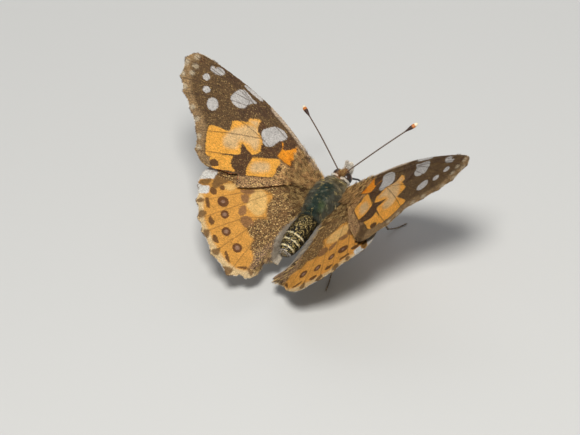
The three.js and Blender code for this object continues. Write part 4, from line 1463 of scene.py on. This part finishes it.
def buildEye(sideName, sign):
    edit = bmesh.new()
    bmesh.ops.create_uvsphere(edit, u_segments=64, v_segments=40, radius=1)
    local = np.array([v.co[:] for v in edit.verts])
    shaped = local * eyeSizes["radii"] + np.array(eyeSizes[sideName])
    for v, spot in zip(edit.verts, bodyToRow(shaped * [sign, 1, 1])):
        v.co = spot
    bmesh.ops.recalc_face_normals(edit, faces=edit.faces)
    mesh = bpy.data.meshes.new("eye")
    edit.to_mesh(mesh)
    edit.free()
    mesh.materials.append(eyeFinish)
    # The paler outer band faces forwards, outwards and down.
    storeFloats(mesh, "outer", local @ unit(np.array([0.55, 0.7, -0.35])))
    piece = bpy.data.objects.new(f"eye_{sideName}_ball", mesh)
    bpy.context.scene.collection.objects.link(piece)
    smoothShade(piece)
    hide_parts("eye_" + sideName)
    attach(piece, "root")


paleHair = scaledMaterial("paleHair", (228, 220, 206), [("dark", (84, 62, 48), 0.05, 0.1, 0.9)])


# Spots on the unwrap for blades in rows. Room is the number of spots that the unwrap's side would hold.
def gridSpots(count, perRow, room):
    number = np.arange(count)
    return np.stack([(number % perRow) / room, (number // perRow) / room, np.zeros(count)], -1)


# Tufts given by their roots, directions and outward sides in body axes.
def addTufts(name, places, lie, rise, length, width, dark, material, slot):
    places, count = np.asarray(places, float), len(places)
    lie, rise = unit(np.asarray(lie) @ rowAxes), unit(np.asarray(rise) @ rowAxes)
    size = bladeSize(width, np.broadcast_to(length, count))
    fields = {"dark": dark, "tone": dice.normal(0, 0.12, count)}
    addCoat(name, bodyToRow(places), lie, rise, size, gridSpots(count, 300, 310), fields, places, hairBlade,
            material, slot)


# The rim runs round the back of each eye in two rows, where the head's scales lap over it.
rimSizes = {"from": -100, "to": 150, "step": 2.2, "rows": (0.62, 0.74), "length": 0.32, "width": 0.6}


def growEyeRim():
    places, lies, rises = [], [], []
    radii = np.array(eyeSizes["radii"])
    for sideName, sign in bothSides:
        centre = np.array(eyeSizes[sideName])
        for turn in np.radians(np.arange(rimSizes["from"], rimSizes["to"], rimSizes["step"])):
            for back in rimSizes["rows"]:
                rim = np.array([math.cos(turn), 0, math.sin(turn)]) * math.sqrt(1 - back * back)
                rim = rim + [0, -back, 0]
                places.append((centre + rim * radii * 1.01) * [sign, 1, 1])
                lies.append((rim * [1, 0.4, 1] + [0.1, 0.25, 0]) * [sign, 1, 1])
                rises.append(rim * [sign, 1, 1])
    count = len(places)
    places = np.array(places) + dice.normal(0, 0.02, (count, 3))
    lies = np.array(lies) + dice.normal(0, 0.1, (count, 3))
    addTufts("eye_rims", places, lies, rises, rimSizes["length"], rimSizes["width"], np.full(count, -1.0),
             paleHair, "body_hair")


for sideName, sign in bothSides:
    buildEye(sideName, sign)
growEyeRim()

# Palps: fuzzy beaks in front of the face, pale below and dark-streaked above. Line and radii in mm.
palpLine = [(0.42, 3.1, -1.2), (0.5, 4.0, -1.15), (0.5, 4.8, -0.55), (0.43, 5.15, 0.25)]
palpRadius = through([0.2, 0.27, 0.27, 0.17, 0.05])
palpHair = {"count": 620, "length": 0.42, "width": 0.5, "darkShare": 0.24}


def buildPalps():
    finish = hornMaterial("palpSkin", (206, 196, 178), (160, 142, 120), 2500.0, 0.7)
    dense = smoothLine(palpLine, 20)
    ahead = unit(np.gradient(dense, axis=0))
    count = palpHair["count"]
    for sideName, sign in bothSides:
        mirror = np.array([sign, 1, 1])
        line = bodyToRow(np.array(palpLine) * mirror)
        buildTubes(f"palp_{sideName}_core", [(line, lambda t: palpRadius(t) * millimetre, 0.8)], 16, 12,
                   finish, ["palp_" + sideName])
        picks = dice.integers(0, len(dense) - 6, count)
        turns = dice.uniform(0, 2 * math.pi, count)
        up = unit(np.cross(ahead[picks], [1, 0, 0]))
        out = np.cross(ahead[picks], up)
        rise = np.cos(turns)[:, None] * out + np.sin(turns)[:, None] * up
        radius = np.array([palpRadius(i / len(dense)) for i in picks])
        places = dense[picks] + rise * radius[:, None] * [1, 0.85, 0.85]
        lie = unit(ahead[picks] + rise * 0.16 + dice.normal(0, 0.08, rise.shape))
        streaked = (np.abs(rise[:, 0] - 0.2) < 0.12) | (dice.random(count) < palpHair["darkShare"])
        addTufts(f"palp_{sideName}_hair", places * mirror, lie * mirror, rise * mirror, palpHair["length"],
                 palpHair["width"], np.where(streaked, 0.3, -1.0), paleHair, "palp")


buildPalps()

# A thin pale tuft round the abdomen's end, mm.
tipTuft = {"count": 260, "radius": 0.95, "taper": 0.45, "depth": 0.35, "darkShare": 0.45, "width": 0.5}


def growTipTuft():
    fore, left, up = bodyKnots[-3][:3]
    count = tipTuft["count"]
    turns = dice.uniform(0, 2 * math.pi, count)
    across = np.stack([np.cos(turns), np.zeros(count), np.sin(turns)], -1)
    back = dice.uniform(0, 1, (count, 1))
    places = np.array([left, fore, up]) + across * (tipTuft["radius"] - tipTuft["taper"] * back)
    places = places - [0, 1, 0] * (tipTuft["depth"] * back - 0.1)
    lie = across * 0.25 + [0, -1, 0] + dice.normal(0, 0.12, across.shape)
    length = dice.uniform(0.25, 0.5, count)
    dark = np.where(dice.random(count) < tipTuft["darkShare"], 0.3, -1.0)
    addTufts("abdomen_tuft", places, lie, across, length, tipTuft["width"], dark, paleHair, "abdomen")


growTipTuft()
print("head dressed")

# Legs, in the floor's frame before the part is centred: [left, y, z] mm.
legSizes = {
    "femur": 0.3, "tibia": 0.17, "tarsus": 0.11, "claw": 0.05, "spineFirst": 0.3, "spineStep": 0.42,
    "spine": 0.34, "spineWidth": 0.5, "forelegGirth": 0.7,
}
legJoints = {
    "foreleg": [(0.85, -0.55, 6.7), (1.9, -2.7, 6.1), (1.35, -1.5, 4.3), (1.2, -2.6, 3.6)],
    "midleg": [(1.2, 1.2, 6.6), (5.3, -1.6, 7.3), (8.2, -3.4, 0.75), (9.6, -6.6, 0.125)],
    "hindleg": [(1.2, 4.0, 6.0), (4.4, 7.2, 6.3), (6.4, 11.0, 0.75), (7.6, 14.4, 0.125)],
}


def legMaterial():
    material, nodes, shader = newMaterial("legScales")
    spot = nodes.objectSpot()
    speckled = nodes.ramp(nodes.noise(spot, 6000.0), 0.42, 0.6)
    color = nodes.mix(speckled, srgb(104, 82, 58), srgb(190, 172, 144))
    jointed = nodes.math("MULTIPLY", nodes.ramp(nodes.noise(spot, 900.0, 1.0), 0.45, 0.7), 0.5)
    nodes.put(shader, "Base Color", nodes.mix(jointed, color, srgb(70, 52, 36)))
    nodes.put(shader, "Roughness", 0.6)
    addBump(nodes, shader, speckled, 0.4, 0.00003)
    return material


legFinish = legMaterial()
spineBlade = bladeObject("spine_blade", [(0, 0, 0, 1, 0.12)], 3, 0.0)


# A radius that runs through some shares of a size in mm, given in metres.
def limbRadius(size, shares):
    share = through(shares)
    return lambda t: size * share(t) * millimetre


def tarsusRadius(t):
    return legSizes["tarsus"] * (1 - 0.18 * t) * (1 + 0.16 * math.cos(2 * math.pi * 5 * t)) * millimetre


def clawRadius(t):
    return legSizes["claw"] * (1 - 0.8 * t) * millimetre


# Lines of a leg and their radii: thigh, shin, foot and two claws.
def legLines(kind, hip, knee, ankle, toe):
    grounded = kind != "foreleg"
    sole = ankle + (toe - ankle) * (0.45 if grounded else 0.5)
    if grounded:
        sole[2] = toe[2] + 0.06
    girth = 1.0 if grounded else legSizes["forelegGirth"]
    femurBow = (hip + knee) / 2 + np.array([0.1, 0, 0.22])
    tibiaBow = (knee + ankle) / 2 + np.array([0.12, 0, 0.12])
    lines = [
        ([hip, femurBow, knee], limbRadius(legSizes["femur"] * girth, [0.85, 1.0, 0.9, 0.62])),
        ([knee, tibiaBow, ankle], limbRadius(legSizes["tibia"] * girth, [0.85, 1.0, 0.95, 1.05])),
        ([ankle, sole, toe], tarsusRadius),
    ]
    forward = unit(toe - sole)
    clawSpread = unit(np.cross(toe - sole, [0, 0, 1]))
    for spread in (1, -1):
        tip = toe + forward * 0.3 + clawSpread * spread * 0.2
        tip[2] = max(tip[2] - 0.06, 0.06)
        bow = toe + forward * 0.2 + clawSpread * spread * 0.1 + np.array([0, 0, 0.03])
        lines.append(([toe, bow, tip], clawRadius))
    return lines


# Roots, directions and outward sides of the spines along one straight reach of a leg.
def spineRows(start, end, radius):
    length = np.linalg.norm(end - start)
    ahead = (end - start) / length
    across = unit(np.cross(ahead, [0, 0, 1]))
    for step in np.arange(legSizes["spineFirst"], length, legSizes["spineStep"]):
        for turn in (1, -1):
            spot = start + ahead * step + across * turn * radius * 0.7
            spot[2] = max(spot[2], 0.2)
            yield spot, ahead + across * turn * 0.9, across * turn


def buildLegs():
    spines = []
    for kind, joints in legJoints.items():
        hip, knee, ankle, toe = [np.array(joint, float) for joint in joints]
        lines = legLines(kind, hip, knee, ankle, toe)
        rows = [*spineRows(knee, ankle, legSizes["tibia"]), *spineRows(ankle, toe, legSizes["tarsus"])]
        for sideName, sign in bothSides:
            mirror, hinge = [sign, 1, 1], [0, stance["hingeBack"], 0]
            tubes = [((np.array(line) * mirror + hinge) * millimetre, radius, 1.0) for line, radius in lines]
            buildTubes(f"{kind}_{sideName}_limb", tubes, 14, 18, legFinish, [f"{kind}_{sideName}"])
            for spot, lie, rise in rows:
                spines.append(((spot * mirror + hinge) * millimetre, lie * mirror, rise * mirror))
    roots, lies, rises = np.array(spines).transpose(1, 0, 2)
    count = len(roots)
    size = bladeSize(legSizes["spineWidth"], np.full(count, legSizes["spine"]))
    addCoat("leg_spines", roots, unit(lies), unit(rises), size, gridSpots(count, 30, 31),
            {"tone": np.zeros(count)}, np.zeros((count, 3)), spineBlade, legFinish, "leg")


buildLegs()
for blade in (hairBlade, scaleBlade, fringeBlade, spineBlade):
    bpy.data.objects.remove(blade)
print("legs dressed")

# Stage: a pale floor, two soft lights that look at the insect, and an even background. Metres and watts.
floorSize = 1.5
lightAim = (0, 0, 0.012)
lights = {
    "key": {"spot": (-0.14, 0.2, 0.5), "size": 0.14, "power": 3.05, "tint": (1.0, 0.98, 0.94)},
    "fill": {"spot": (0.3, -0.4, 0.35), "size": 0.5, "power": 0.8, "tint": (0.93, 0.96, 1.0)},
}
background = {"tint": (0.9, 0.92, 0.95, 1), "strength": 0.24}


def addFloor():
    corners = [(floorSize * x, floorSize * y, 0) for x, y in ((-1, -1), (1, -1), (1, 1), (-1, 1))]
    material, nodes, shader = newMaterial("paleFloor")
    nodes.put(shader, "Base Color", srgb(200, 200, 198))
    nodes.put(shader, "Roughness", 0.9)
    floor = meshObject("floor", corners, [(0, 1, 2, 3)], material)


def addLights():
    for name, light in lights.items():
        data = bpy.data.lights.new(name, "AREA")
        data.size = light["size"]
        data.energy = light["power"]
        data.color = light["tint"]
        lamp = bpy.data.objects.new(name, data)
        lamp.location = light["spot"]
        aim = Vector(lightAim) - Vector(light["spot"])
        lamp.rotation_euler = aim.to_track_quat("-Z", "Y").to_euler()
        bpy.context.scene.collection.objects.link(lamp)
    world = bpy.data.worlds.new("studio")
    world.use_nodes = True
    inputs = world.node_tree.nodes["Background"].inputs
    inputs["Color"].default_value = background["tint"]
    inputs["Strength"].default_value = background["strength"]
    bpy.context.scene.world = world


addFloor()
addLights()
bpy.context.scene.view_settings.view_transform = "Standard"
